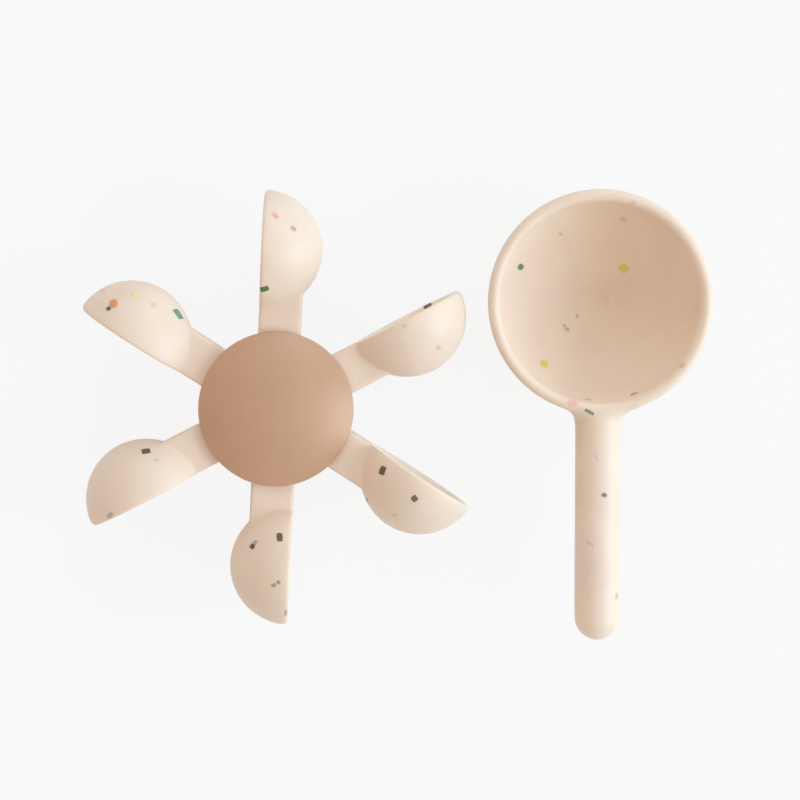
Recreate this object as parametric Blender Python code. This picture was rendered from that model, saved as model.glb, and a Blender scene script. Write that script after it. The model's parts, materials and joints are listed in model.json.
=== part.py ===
"""Bath water wheel on a suction cup, with the pouring ladle of the same set.

The set lies on a table. The wheel stands on its suction cup, so its axle is upright, and the ladle
stands on its foot beside it. Units are metres, +Z is up, and the origin is on the table under the
middle of the set.
"""

import math

import bmesh
import bpy
from mathutils import Matrix, Vector

MM = 0.001

# Clearances
SEAT_GAP = 0.3 * MM  # between pieces that are pressed, laid or clamped together
RUN_GAP = 0.3 * MM  # between pieces that turn on each other

# Places on the table
WHEEL_X = -43.5 * MM
WHEEL_Y = 2.9 * MM
FIRST_SCOOP_ANGLE = math.radians(87.2)
LADLE_BEARING = math.radians(18.1)  # of the ladle's bowl, seen from the axle
LADLE_TURN = math.radians(-0.1)
SET_GAP = 3.3 * MM  # between the ladle and the sweep of the wheel

# Scoops of the wheel
SCOOP_COUNT = 6
WHEEL_RADIUS = 78.2 * MM  # axle to the tip of a scoop
BOWL_RADIUS = 21.7 * MM
BOWL_WALL = 2.6 * MM
ARM_WIDTH = 15.4 * MM  # along the turn of the wheel
ARM_HEIGHT = 13.0 * MM  # along the axle
SCOOP_EDGE = 0.8 * MM  # chamfer round the rim and the arm

# Root of a scoop: a neck through the drum wall and a tee head behind it
NECK_WIDTH = 12.0 * MM
NECK_HEIGHT = 12.0 * MM
NECK_OVERLAP = 1.5 * MM  # how far the neck runs into the arm
TEE_SHOULDER = 1.5 * MM
TEE_LENGTH = 3.0 * MM

# Hub drum
DRUM_WALL = 3.1 * MM  # at the corners of the six-sided pocket
DRUM_FLOOR = 3.0 * MM
DRUM_CHAMFER = 1.0 * MM
BOSS_WALL = 2.0 * MM  # round the bushes
POST_RADIUS = 3.0 * MM
POST_CIRCLE = 10.9 * MM  # radius of the circle of screw posts
FLANGE_RECESS = 1.0 * MM  # how deep the rear bush flange sits in the drum floor

# Front plate and its screws
PLATE_UNDERCUT = 1.1 * MM  # step under the plate's edge that the cap's bead grips
PLATE_STEP = 1.5 * MM
PLATE_FLANGE = 1.4 * MM
PLATE_OVERHANG = 0.5 * MM  # of the plate's edge past the drum
PLATE_HOLE_MARGIN = 1.0 * MM  # of its middle hole past the bush flange
SCREW_COUNT = 3
SCREW_RADIUS = 1.5 * MM
SCREW_LENGTH = 12.0 * MM
SCREW_HEAD_RADIUS = 3.0 * MM
SCREW_POINT = 1.5 * MM
SCREW_CROSS_WIDTH = 0.8 * MM
SCREW_CROSS_DEPTH = 1.0 * MM

# Hub cap
CAP_WALL = 4.4 * MM  # round the plate's edge
CAP_SIDE = 3.0 * MM  # height of the straight side
CAP_RISE = 7.6 * MM  # of the dome over the side
CAP_SHELL = 3.0 * MM  # thickness of the dome
CAP_EDGE = 0.6 * MM
CAP_SEAT = 3.0 * MM  # width of the ring that rests on the plate

# Axle, bushes, washers and clip
AXLE_RADIUS = 3.0 * MM
AXLE_CHAMFER = 0.5 * MM
AXLE_TAIL = 1.5 * MM  # of the axle past the clip
GROOVE_DEPTH = 0.8 * MM
BUSH_WALL = 1.7 * MM
BUSH_FLANGE_WIDTH = 1.6 * MM
BUSH_FLANGE = 1.2 * MM
BUSH_LENGTH = 4.6 * MM  # of the sleeve
WASHER_THICKNESS = 0.8 * MM
CLIP_THICKNESS = 0.8 * MM
CLIP_WIDTH = 2.6 * MM
CLIP_MOUTH = math.radians(80)

# Suction cup
SUCTION_RADIUS = 25.0 * MM
SUCTION_LIP = 3.5 * MM  # width of the flat ring that meets the wall
SUCTION_LIP_HEIGHT = 1.2 * MM
SUCTION_HOLLOW = 3.4 * MM
SUCTION_SKIN = 2.5 * MM  # between the hollow and the pocket
SUCTION_SHOULDER = 6.5 * MM  # height where the flare meets the neck
SUCTION_HEIGHT = 12.5 * MM
SUCTION_NECK_WALL = 3.2 * MM
TAB_LENGTH = 5.0 * MM
TAB_WIDTH = 10.0 * MM
TAB_THICKNESS = 2.0 * MM
TAB_ANGLE = math.radians(147.2)

# Stem that plugs into the suction cup
SHANK_RADIUS = 6.7 * MM
SHANK_FLOOR = 2.0 * MM  # under the axle
BARB_HEIGHT = 0.5 * MM
BARB_LENGTH = 1.4 * MM
BARB_SHARES = (0.2, 0.6)  # where the barbs start, as shares of the shank in the cup
STEM_FLANGE_RADIUS = 13.0 * MM
STEM_FLANGE = 2.0 * MM
STEM_BOSS = 1.2 * MM

# Ladle
LADLE_RADIUS = 40.4 * MM
LADLE_HEIGHT = 35.0 * MM
LADLE_WALL = 4.2 * MM
LADLE_FLOOR = 4.0 * MM
LADLE_FOOT_RADIUS = 22.5 * MM
LADLE_OUTER_POWER = 2.3  # 2 is an ellipse, and more is fuller
LADLE_INNER_POWER = 2.2
HANDLE_RADIUS = 8.2 * MM
HANDLE_REACH = 122.3 * MM  # bowl axis to the end of the handle
HANDLE_DROP = 0.4 * MM  # of the handle's top under the rim
HANDLE_FLARE = 3.5 * MM  # how much wider the handle is at the bowl
HANDLE_FLARE_LENGTH = 4.0 * MM
HANDLE_BITE = 0.6 * MM  # clear of the bowl's inside

# Facets, cutters and welds
ROUND_STEPS = 40  # round a large turned piece
SMALL_STEPS = 24  # round a small turned piece
BOWL_ARC_STEPS = 22  # round the free part of a scoop's rim
BOWL_ROOT_STEPS = 4  # round the part of the rim on the arm
BOWL_SIDE_STEPS = 4  # from the rim to the back of the arm
BOWL_DOME_STEPS = 3  # from the back of the arm to the bowl's bottom
BOWL_INSIDE_STEPS = 6
CURVE_STEPS = 8
CUTTER_EXCESS = 2.0 * MM  # how far a cutter stands out of what it cuts
WELD_DISTANCE = 0.001 * MM
SMOOTH_ANGLE = math.radians(32)

# Heights along the axle, from the wall that the suction cup grips
STEM_Z = SUCTION_HEIGHT + SEAT_GAP
STEM_TOP = STEM_Z + STEM_FLANGE + STEM_BOSS
REAR_WASHER_Z = STEM_TOP + SEAT_GAP
REAR_BUSH_Z = REAR_WASHER_Z + WASHER_THICKNESS + RUN_GAP
BOSS_BOTTOM = REAR_BUSH_Z + BUSH_FLANGE + SEAT_GAP
DRUM_BOTTOM = BOSS_BOTTOM - FLANGE_RECESS
FLOOR_TOP = DRUM_BOTTOM + DRUM_FLOOR
WHEEL_Z = FLOOR_TOP + SEAT_GAP + NECK_HEIGHT / 2
DRUM_TOP = WHEEL_Z + NECK_HEIGHT / 2
PLATE_Z = DRUM_TOP + SEAT_GAP
PLATE_LEDGE = PLATE_Z + PLATE_STEP
PLATE_TOP = PLATE_LEDGE + PLATE_FLANGE
CAP_Z = WHEEL_Z + ARM_HEIGHT / 2 + SEAT_GAP
CLIP_Z = PLATE_Z - SEAT_GAP - CLIP_THICKNESS
FRONT_WASHER_Z = CLIP_Z - SEAT_GAP - WASHER_THICKNESS
FRONT_BUSH_TOP = FRONT_WASHER_Z - RUN_GAP
BOSS_TOP = FRONT_BUSH_TOP - BUSH_FLANGE - SEAT_GAP
AXLE_TOP = CLIP_Z + CLIP_THICKNESS + SEAT_GAP + AXLE_TAIL
POCKET_Z = SUCTION_HOLLOW + SUCTION_SKIN
SHANK_Z = POCKET_Z + SEAT_GAP
STEM_BORE_Z = SHANK_Z + SHANK_FLOOR
AXLE_Z = STEM_BORE_Z + SEAT_GAP

# Radii and widths that follow from what fits in what
SLICE = math.pi / SCOOP_COUNT  # half the angle from one scoop to the next
TEE_WIDTH = NECK_WIDTH + 2 * TEE_SHOULDER
TEE_INNER = (TEE_WIDTH / 2 + SEAT_GAP) / math.tan(SLICE)
TEE_OUTER = TEE_INNER + TEE_LENGTH
POCKET_APOTHEM = TEE_OUTER + SEAT_GAP
DRUM_RADIUS = POCKET_APOTHEM / math.cos(SLICE) + DRUM_WALL
ARM_START = DRUM_RADIUS + SEAT_GAP
BOWL_CENTRE = WHEEL_RADIUS - BOWL_RADIUS
WHEEL_SWEEP = math.hypot(WHEEL_RADIUS, ARM_WIDTH / 2)
LADLE_DISTANCE = WHEEL_SWEEP + SET_GAP + LADLE_RADIUS
BUSH_BORE = AXLE_RADIUS + RUN_GAP
BUSH_RADIUS = BUSH_BORE + BUSH_WALL
BUSH_FLANGE_RADIUS = BUSH_RADIUS + BUSH_FLANGE_WIDTH
BOSS_BORE = BUSH_RADIUS + SEAT_GAP
BOSS_RADIUS = BOSS_BORE + BOSS_WALL
SCREW_HOLE = SCREW_RADIUS + SEAT_GAP
SCREW_HEAD = SCREW_HEAD_RADIUS - SCREW_RADIUS  # a right-angled countersink
SCREW_TOP = PLATE_TOP - SEAT_GAP
PLATE_RADIUS = DRUM_RADIUS + PLATE_OVERHANG
PLATE_STEP_RADIUS = PLATE_RADIUS - PLATE_UNDERCUT
PLATE_HOLE = BUSH_FLANGE_RADIUS + PLATE_HOLE_MARGIN
CAP_BORE = PLATE_RADIUS + SEAT_GAP
CAP_RADIUS = CAP_BORE + CAP_WALL
POCKET_RADIUS = SHANK_RADIUS + SEAT_GAP
SUCTION_NECK = POCKET_RADIUS + SUCTION_NECK_WALL


def clear_scene():
    """Takes out whatever the file held."""
    for old in list(bpy.data.objects):
        bpy.data.objects.remove(old)


def material(name, colour, roughness, metallic=0.0):
    made = bpy.data.materials.new(name)
    made.use_nodes = True
    made.diffuse_color = (*colour, 1.0)
    shader = made.node_tree.nodes["Principled BSDF"]
    shader.inputs["Base Color"].default_value = (*colour, 1.0)
    shader.inputs["Roughness"].default_value = roughness
    shader.inputs["Metallic"].default_value = metallic
    return made


def mesh_from(bm):
    """A closed bmesh as a mesh that faces out."""
    bmesh.ops.remove_doubles(bm, verts=bm.verts, dist=WELD_DISTANCE)
    bmesh.ops.recalc_face_normals(bm, faces=bm.faces)
    mesh = bpy.data.meshes.new("solid")
    bm.to_mesh(mesh)
    bm.free()
    return mesh


def combined(base, operation, tool):
    """The mesh left by a Boolean of two meshes that share one frame."""
    pair = []
    for mesh in (base, tool):
        helper = bpy.data.objects.new("helper", mesh)
        bpy.context.scene.collection.objects.link(helper)
        pair.append(helper)
    boolean = pair[0].modifiers.new("boolean", "BOOLEAN")
    boolean.operation = operation
    boolean.solver = "EXACT"
    boolean.object = pair[1]
    graph = bpy.context.evaluated_depsgraph_get()
    result = bpy.data.meshes.new_from_object(pair[0].evaluated_get(graph))
    for helper in pair:
        bpy.data.objects.remove(helper)
    return result


def cut(base, tool):
    return combined(base, "DIFFERENCE", tool)


def joined(base, tool):
    return combined(base, "UNION", tool)


def add_piece(name, mesh, finish, parent, angle=0.0, at=(0.0, 0.0, 0.0)):
    """One named object of the set, carried by an empty."""
    piece = bpy.data.objects.new(name, mesh)
    bpy.context.scene.collection.objects.link(piece)
    piece.parent = parent
    piece.location = at
    piece.rotation_euler = (0.0, 0.0, angle)
    if not mesh.materials:
        mesh.materials.append(finish)
    mesh.shade_smooth()
    mesh.set_sharp_from_angle(angle=SMOOTH_ANGLE)
    return piece


def add_carrier(name, place):
    empty = bpy.data.objects.new(name, None)
    bpy.context.scene.collection.objects.link(empty)
    empty.location = place
    return empty


def turned(profile, steps):
    """A solid of revolution about Z. The profile's points are (radius, height), and it closes itself."""
    bm = bmesh.new()
    ring = [bm.verts.new((radius, 0.0, height)) for radius, height in profile]
    for a, b in zip(ring, ring[1:] + ring[:1]):
        on_axis = a.co.x == 0.0 and b.co.x == 0.0
        if not on_axis:
            bm.edges.new((a, b))
    bmesh.ops.spin(
        bm,
        geom=bm.verts[:] + bm.edges[:],
        cent=(0.0, 0.0, 0.0),
        axis=(0.0, 0.0, 1.0),
        angle=2 * math.pi,
        steps=steps,
        use_merge=True,
    )
    return mesh_from(bm)


def bar_profile(radius, low, high):
    return [(0.0, low), (radius, low), (radius, high), (0.0, high)]


def ring_profile(inner, outer, low, high):
    return [(outer, low), (outer, high), (inner, high), (inner, low)]


def prism(outline, low, high):
    """An outline of (x, y) points, pulled up from low to high."""
    bm = bmesh.new()
    base = bm.faces.new([bm.verts.new((x, y, low)) for x, y in outline])
    pulled = bmesh.ops.extrude_face_region(bm, geom=[base])["geom"]
    lifted = [v for v in pulled if isinstance(v, bmesh.types.BMVert)]
    bmesh.ops.translate(bm, verts=lifted, vec=(0.0, 0.0, high - low))
    return mesh_from(bm)


def rectangle(x_low, x_high, half_width):
    return [(x_low, -half_width), (x_high, -half_width), (x_high, half_width), (x_low, half_width)]


def copies(mesh, places):
    """Copies of a mesh in one mesh, each at a (radius, angle) of the axle."""
    bm = bmesh.new()
    for radius, angle in places:
        start = len(bm.verts)
        bm.from_mesh(mesh)
        turn = Matrix.Rotation(angle, 4, "Z") @ Matrix.Translation((radius, 0.0, 0.0))
        bmesh.ops.transform(bm, matrix=turn, verts=bm.verts[start:])
    return mesh_from(bm)


def arc(centre, radius, start, end, steps):
    """Points of an arc, both ends included. Angles are from +X."""
    turns = [start + (end - start) * k / steps for k in range(steps + 1)]
    return [(centre[0] + radius * math.cos(a), centre[1] + radius * math.sin(a)) for a in turns]


def skin(bm, row, other):
    """Quads between two rows of as many vertices."""
    for (a, b), (c, d) in zip(zip(row, row[1:]), zip(other, other[1:])):
        bm.faces.new((a, b, d, c))


# Scoop

def scoop_body():
    """The bowl with its arm. +X runs from the axle to the tip, and the open face looks along +Y.

    Seen along Y, each depth under the open face has the outline of a keyhole: the bowl's round, open
    where the arm joins it, and the arm's two straight sides.
    """
    bm = bmesh.new()
    half = ARM_HEIGHT / 2

    def vertex(x, z, depth):
        return bm.verts.new((x, ARM_WIDTH / 2 - depth, z))

    def round_angle(radius, half_height):
        return math.pi - math.asin(half_height / radius)

    def keyhole(depth, radius, half_height):
        end = round_angle(radius, half_height)
        points = arc((BOWL_CENTRE, 0.0), radius, end, -end, BOWL_ARC_STEPS)
        points = [(ARM_START, half_height), *points, (ARM_START, -half_height)]
        return [vertex(x, z, depth) for x, z in points]

    def on_arm(depth, radius, half_height):
        """The round's points on the arm, between the two ends of the keyhole's round."""
        end = round_angle(radius, half_height)
        points = arc((BOWL_CENTRE, 0.0), radius, -end, end - 2 * math.pi, BOWL_ROOT_STEPS)
        return [vertex(x, z, depth) for x, z in points[1:-1]]

    def sphere(radius, depth):
        return math.sqrt(radius**2 - depth**2)

    # Outside, from the rim to the back of the arm
    levels = [(0.0, BOWL_RADIUS - SCOOP_EDGE, half - SCOOP_EDGE)]
    for k in range(BOWL_SIDE_STEPS + 1):
        depth = SCOOP_EDGE + (ARM_WIDTH - 2 * SCOOP_EDGE) * k / BOWL_SIDE_STEPS
        levels.append((depth, sphere(BOWL_RADIUS, depth), half))
    levels.append((ARM_WIDTH, sphere(BOWL_RADIUS, ARM_WIDTH), half - SCOOP_EDGE))
    rows = [keyhole(*level) for level in levels]
    for row, other in zip(rows, rows[1:]):
        skin(bm, row, other)

    # Back of the arm, and the bottom of the bowl behind it
    back_arc = on_arm(*levels[-1])
    bm.faces.new([*rows[-1][:2], *reversed(back_arc), *rows[-1][-2:]])
    ring = [*rows[-1][1:-1], *back_arc]
    tilt = math.asin(ARM_WIDTH / BOWL_RADIUS)
    for k in range(1, BOWL_DOME_STEPS):
        angle = tilt + (math.pi / 2 - tilt) * k / BOWL_DOME_STEPS
        depth, scale = BOWL_RADIUS * math.sin(angle), math.cos(angle) / math.cos(tilt)
        smaller = [
            vertex(BOWL_CENTRE + (v.co.x - BOWL_CENTRE) * scale, v.co.z * scale, depth) for v in ring
        ]
        skin(bm, ring + ring[:1], smaller + smaller[:1])
        ring = smaller
    bottom = vertex(BOWL_CENTRE, 0.0, BOWL_RADIUS)
    for a, b in zip(ring, ring[1:] + ring[:1]):
        bm.faces.new((a, b, bottom))

    # Open face and the inside of the bowl
    inner = BOWL_RADIUS - BOWL_WALL
    rim = rows[0]
    mouth = []
    for v in [*rim[1:-1], *on_arm(*levels[0])]:
        scale = inner / levels[0][1]
        mouth.append(vertex(BOWL_CENTRE + (v.co.x - BOWL_CENTRE) * scale, v.co.z * scale, 0.0))
    for loose in [v for v in bm.verts if not v.link_faces and v not in mouth]:
        bm.verts.remove(loose)
    free = len(rim) - 2
    skin(bm, rim[1:-1], mouth[:free])
    bm.faces.new([*rim[:2], mouth[0], *reversed(mouth[free:]), mouth[free - 1], *rim[-2:]])
    ring = mouth
    for k in range(1, BOWL_INSIDE_STEPS):
        angle = math.pi / 2 * k / BOWL_INSIDE_STEPS
        scale = math.cos(angle) / math.cos(math.pi / 2 * (k - 1) / BOWL_INSIDE_STEPS)
        smaller = [
            vertex(BOWL_CENTRE + (v.co.x - BOWL_CENTRE) * scale, v.co.z * scale, inner * math.sin(angle))
            for v in ring
        ]
        skin(bm, ring + ring[:1], smaller + smaller[:1])
        ring = smaller
    bottom = vertex(BOWL_CENTRE, 0.0, inner)
    for a, b in zip(ring, ring[1:] + ring[:1]):
        bm.faces.new((a, b, bottom))

    # End of the arm at the hub
    bm.faces.new([row[0] for row in rows] + [row[-1] for row in reversed(rows)])
    return mesh_from(bm)


def scoop_root():
    """The neck that passes the drum wall, and the tee head behind it."""
    outline = [
        (TEE_INNER, -TEE_WIDTH / 2),
        (TEE_OUTER, -TEE_WIDTH / 2),
        (TEE_OUTER, -NECK_WIDTH / 2),
        (ARM_START + NECK_OVERLAP, -NECK_WIDTH / 2),
    ]
    outline += [(x, -y) for x, y in reversed(outline)]
    return prism(outline, -NECK_HEIGHT / 2, NECK_HEIGHT / 2)


def add_scoops(wheel, finish):
    mesh = joined(scoop_body(), scoop_root())
    for k in range(SCOOP_COUNT):
        angle = FIRST_SCOOP_ANGLE - 2 * SLICE * k
        add_piece(f"scoop_{k + 1}", mesh, finish, wheel, angle, at=(0.0, 0.0, WHEEL_Z))


# Hub

def screw_places():
    """The screws stand between the scoops."""
    return [
        (POST_CIRCLE, FIRST_SCOOP_ANGLE - SLICE - 2 * math.pi * k / SCREW_COUNT) for k in range(SCREW_COUNT)
    ]


def drum_pocket():
    """Outline of the six-sided pocket for the tee heads, with a slot through the wall for each neck."""
    outline = []
    slot = NECK_WIDTH / 2 + SEAT_GAP
    past_wall = DRUM_RADIUS + CUTTER_EXCESS
    side = [
        (POCKET_APOTHEM, -slot),
        (past_wall, -slot),
        (past_wall, slot),
        (POCKET_APOTHEM, slot),
        (POCKET_APOTHEM, POCKET_APOTHEM * math.tan(SLICE)),
    ]
    for k in range(SCOOP_COUNT):
        turn = Matrix.Rotation(FIRST_SCOOP_ANGLE + 2 * SLICE * k, 2)
        outline += [tuple(turn @ Vector(point)) for point in side]
    return outline


def add_hub_drum(wheel, finish):
    blank = turned(
        [
            (0.0, DRUM_BOTTOM),
            (DRUM_RADIUS - DRUM_CHAMFER, DRUM_BOTTOM),
            (DRUM_RADIUS, DRUM_BOTTOM + DRUM_CHAMFER),
            (DRUM_RADIUS, DRUM_TOP),
            (0.0, DRUM_TOP),
        ],
        ROUND_STEPS,
    )
    drum = cut(blank, prism(drum_pocket(), FLOOR_TOP, DRUM_TOP + CUTTER_EXCESS))
    in_floor = FLOOR_TOP - DRUM_FLOOR / 3
    drum = joined(drum, turned(bar_profile(BOSS_RADIUS, in_floor, BOSS_TOP), SMALL_STEPS))
    post = turned(bar_profile(POST_RADIUS, in_floor, DRUM_TOP), SMALL_STEPS // 2)
    drum = joined(drum, copies(post, screw_places()))
    recess = BUSH_FLANGE_RADIUS + SEAT_GAP
    bore = turned(
        [
            (0.0, DRUM_BOTTOM - CUTTER_EXCESS),
            (recess, DRUM_BOTTOM - CUTTER_EXCESS),
            (recess, BOSS_BOTTOM),
            (BOSS_BORE, BOSS_BOTTOM),
            (BOSS_BORE, DRUM_TOP + CUTTER_EXCESS),
            (0.0, DRUM_TOP + CUTTER_EXCESS),
        ],
        SMALL_STEPS,
    )
    drum = cut(drum, bore)
    hole_bottom = SCREW_TOP - SCREW_LENGTH - SEAT_GAP
    hole = turned(bar_profile(SCREW_HOLE, hole_bottom, DRUM_TOP + CUTTER_EXCESS), SMALL_STEPS // 2)
    drum = cut(drum, copies(hole, screw_places()))
    add_piece("hub_drum", drum, finish, wheel)


def add_front_plate(wheel, finish):
    plate = turned(
        [
            (PLATE_HOLE, PLATE_Z),
            (PLATE_STEP_RADIUS, PLATE_Z),
            (PLATE_STEP_RADIUS, PLATE_LEDGE),
            (PLATE_RADIUS, PLATE_LEDGE),
            (PLATE_RADIUS, PLATE_TOP),
            (PLATE_HOLE, PLATE_TOP),
        ],
        ROUND_STEPS,
    )
    countersink = SCREW_HOLE + SCREW_HEAD
    over = PLATE_TOP + CUTTER_EXCESS
    hole = turned(
        [
            (0.0, PLATE_Z - CUTTER_EXCESS),
            (SCREW_HOLE, PLATE_Z - CUTTER_EXCESS),
            (SCREW_HOLE, SCREW_TOP - SCREW_HEAD),
            (countersink, SCREW_TOP),
            (countersink, over),
            (0.0, over),
        ],
        SMALL_STEPS // 2,
    )
    add_piece("hub_front_plate", cut(plate, copies(hole, screw_places())), finish, wheel)


def add_screws(wheel, finish):
    screw = turned(
        [
            (0.0, -SCREW_LENGTH),
            (SCREW_RADIUS, SCREW_POINT - SCREW_LENGTH),
            (SCREW_RADIUS, -SCREW_HEAD),
            (SCREW_HEAD_RADIUS, 0.0),
            (0.0, 0.0),
        ],
        SMALL_STEPS // 2,
    )
    bar = rectangle(-SCREW_RADIUS, SCREW_RADIUS, SCREW_CROSS_WIDTH / 2)
    for outline in (bar, [(y, x) for x, y in bar]):
        screw = cut(screw, prism(outline, -SCREW_CROSS_DEPTH, CUTTER_EXCESS))
    for k, (radius, angle) in enumerate(screw_places()):
        place = (radius * math.cos(angle), radius * math.sin(angle), SCREW_TOP)
        add_piece(f"hub_screw_{k + 1}", screw, finish, wheel, angle, at=place)


def dome(rim_radius, rim_height, rise, steps):
    """Points of a shallow dome from its rim to the axle."""
    radius = (rim_radius**2 + rise**2) / (2 * rise)
    tilt = math.asin(rim_radius / radius)
    centre = (0.0, rim_height + rise - radius)
    return [(max(r, 0.0), z) for r, z in arc(centre, radius, math.pi / 2 - tilt, math.pi / 2, steps)]


def add_hub_cap(wheel, finish):
    """A soft cap stretched over the front plate: its bead grips the plate's step from below."""
    side_top = CAP_Z + CAP_SIDE
    rim = CAP_RADIUS - CAP_EDGE
    seat_z = PLATE_TOP + SEAT_GAP
    seat_inner = CAP_BORE - CAP_SEAT
    ceiling = side_top + CAP_RISE - CAP_SHELL
    outside = [(rim, CAP_Z), (CAP_RADIUS, CAP_Z + CAP_EDGE), (CAP_RADIUS, side_top)]
    outside += dome(rim, side_top + CAP_EDGE, CAP_RISE - CAP_EDGE, CURVE_STEPS)
    inside = list(reversed(dome(seat_inner, seat_z, ceiling - seat_z, CURVE_STEPS // 2)))
    bead = PLATE_STEP_RADIUS + SEAT_GAP
    bead_top = PLATE_LEDGE - SEAT_GAP
    inside += [(CAP_BORE, seat_z), (CAP_BORE, bead_top), (bead, bead_top), (bead, CAP_Z)]
    add_piece("hub_cap", turned(outside + inside, ROUND_STEPS), finish, wheel)


def add_bushes(wheel, finish):
    """Two flanged bushes, pressed into the drum's boss from both ends."""
    flange_top = REAR_BUSH_Z + BUSH_FLANGE
    rear = [
        (BUSH_BORE, REAR_BUSH_Z),
        (BUSH_FLANGE_RADIUS, REAR_BUSH_Z),
        (BUSH_FLANGE_RADIUS, flange_top),
        (BUSH_RADIUS, flange_top),
        (BUSH_RADIUS, flange_top + BUSH_LENGTH),
        (BUSH_BORE, flange_top + BUSH_LENGTH),
    ]
    front = [(radius, FRONT_BUSH_TOP + REAR_BUSH_Z - height) for radius, height in rear]
    add_piece("rear_bush", turned(rear, SMALL_STEPS), finish, wheel)
    add_piece("front_bush", turned(front, SMALL_STEPS), finish, wheel)


# Base

def add_washers(base, finish):
    for name, height in (("rear_thrust_washer", REAR_WASHER_Z), ("front_thrust_washer", FRONT_WASHER_Z)):
        profile = ring_profile(BUSH_BORE, BUSH_FLANGE_RADIUS, height, height + WASHER_THICKNESS)
        add_piece(name, turned(profile, SMALL_STEPS), finish, base)


def add_axle(base, finish):
    groove = AXLE_RADIUS - GROOVE_DEPTH
    groove_low = CLIP_Z - SEAT_GAP
    groove_high = CLIP_Z + CLIP_THICKNESS + SEAT_GAP
    profile = [
        (0.0, AXLE_Z),
        (AXLE_RADIUS - AXLE_CHAMFER, AXLE_Z),
        (AXLE_RADIUS, AXLE_Z + AXLE_CHAMFER),
        (AXLE_RADIUS, groove_low),
        (groove, groove_low),
        (groove, groove_high),
        (AXLE_RADIUS, groove_high),
        (AXLE_RADIUS, AXLE_TOP - AXLE_CHAMFER),
        (AXLE_RADIUS - AXLE_CHAMFER, AXLE_TOP),
        (0.0, AXLE_TOP),
    ]
    add_piece("axle", turned(profile, SMALL_STEPS), finish, base)


def add_retaining_clip(base, finish):
    """An open ring that snaps into the axle's groove."""
    inner = AXLE_RADIUS - GROOVE_DEPTH + SEAT_GAP
    half = math.pi - CLIP_MOUTH / 2
    outline = arc((0.0, 0.0), inner + CLIP_WIDTH, -half, half, SMALL_STEPS)
    outline += arc((0.0, 0.0), inner, half, -half, SMALL_STEPS)
    add_piece("retaining_clip", prism(outline, CLIP_Z, CLIP_Z + CLIP_THICKNESS), finish, base)


def barb_heights():
    """Lower end of each barb on the shank."""
    room = SUCTION_HEIGHT - SHANK_Z
    return [SHANK_Z + room * share for share in BARB_SHARES]


def add_mount_stem(base, finish):
    """Rigid stem: barbs in the suction cup, a flange on its neck, and a bore for the axle."""
    bore = AXLE_RADIUS + SEAT_GAP
    shank = [(0.0, SHANK_Z), (SHANK_RADIUS, SHANK_Z)]
    for low in barb_heights():
        shank += [
            (SHANK_RADIUS, low),
            (SHANK_RADIUS + BARB_HEIGHT, low + BARB_LENGTH),
            (SHANK_RADIUS, low + BARB_LENGTH),
        ]
    flange_top = STEM_Z + STEM_FLANGE
    profile = shank + [
        (SHANK_RADIUS, STEM_Z),
        (STEM_FLANGE_RADIUS, STEM_Z),
        (STEM_FLANGE_RADIUS, flange_top),
        (BUSH_FLANGE_RADIUS, flange_top),
        (BUSH_FLANGE_RADIUS, STEM_TOP),
        (bore, STEM_TOP),
        (bore, STEM_BORE_Z),
        (0.0, STEM_BORE_Z),
    ]
    add_piece("mount_stem", turned(profile, SMALL_STEPS), finish, base)


def add_suction_cup(base, finish):
    """Soft cup with a flat lip, a flared back, a neck with a barbed pocket, and a release tab."""
    lip = SUCTION_RADIUS - SUCTION_LIP
    hollow = []
    for k in range(CURVE_STEPS + 1):
        share = k / CURVE_STEPS
        hollow.append((lip * share, SUCTION_HOLLOW * (1 - share**2)))
    run = SUCTION_RADIUS - SUCTION_NECK
    climb = SUCTION_SHOULDER - SUCTION_LIP_HEIGHT
    flare = []
    for k in range(CURVE_STEPS + 1):
        share = k / CURVE_STEPS
        flare.append((SUCTION_RADIUS - run * share, SUCTION_LIP_HEIGHT + climb * share**2))
    pocket = [(POCKET_RADIUS, SUCTION_HEIGHT)]
    for low in reversed(barb_heights()):
        pocket += [
            (POCKET_RADIUS, low + BARB_LENGTH + SEAT_GAP),
            (POCKET_RADIUS + BARB_HEIGHT, low + BARB_LENGTH + SEAT_GAP),
            (POCKET_RADIUS, low),
        ]
    pocket += [(POCKET_RADIUS, POCKET_Z), (0.0, POCKET_Z)]
    profile = hollow + [(SUCTION_RADIUS, 0.0)] + flare + [(SUCTION_NECK, SUCTION_HEIGHT)] + pocket
    cup = turned(profile, ROUND_STEPS)
    half = TAB_WIDTH / 2
    tab_end = SUCTION_RADIUS + TAB_LENGTH - half
    tab_round = arc((tab_end, 0.0), half, -math.pi / 2, math.pi / 2, CURVE_STEPS)
    outline = [(lip, -half), *tab_round, (lip, half)]
    tab_low = SUCTION_LIP_HEIGHT / 2
    tab = copies(prism(outline, tab_low, tab_low + TAB_THICKNESS), [(0.0, TAB_ANGLE)])
    add_piece("suction_cup", joined(cup, tab), finish, base)


# Ladle

def fuller_ellipse(radius, depth, power, share):
    """(radius, depth) on the side of a bowl, at a share of the way from the rim to the bottom."""
    angle = math.pi / 2 * share
    return radius * math.cos(angle) ** (2 / power), depth * math.sin(angle) ** (2 / power)


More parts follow.
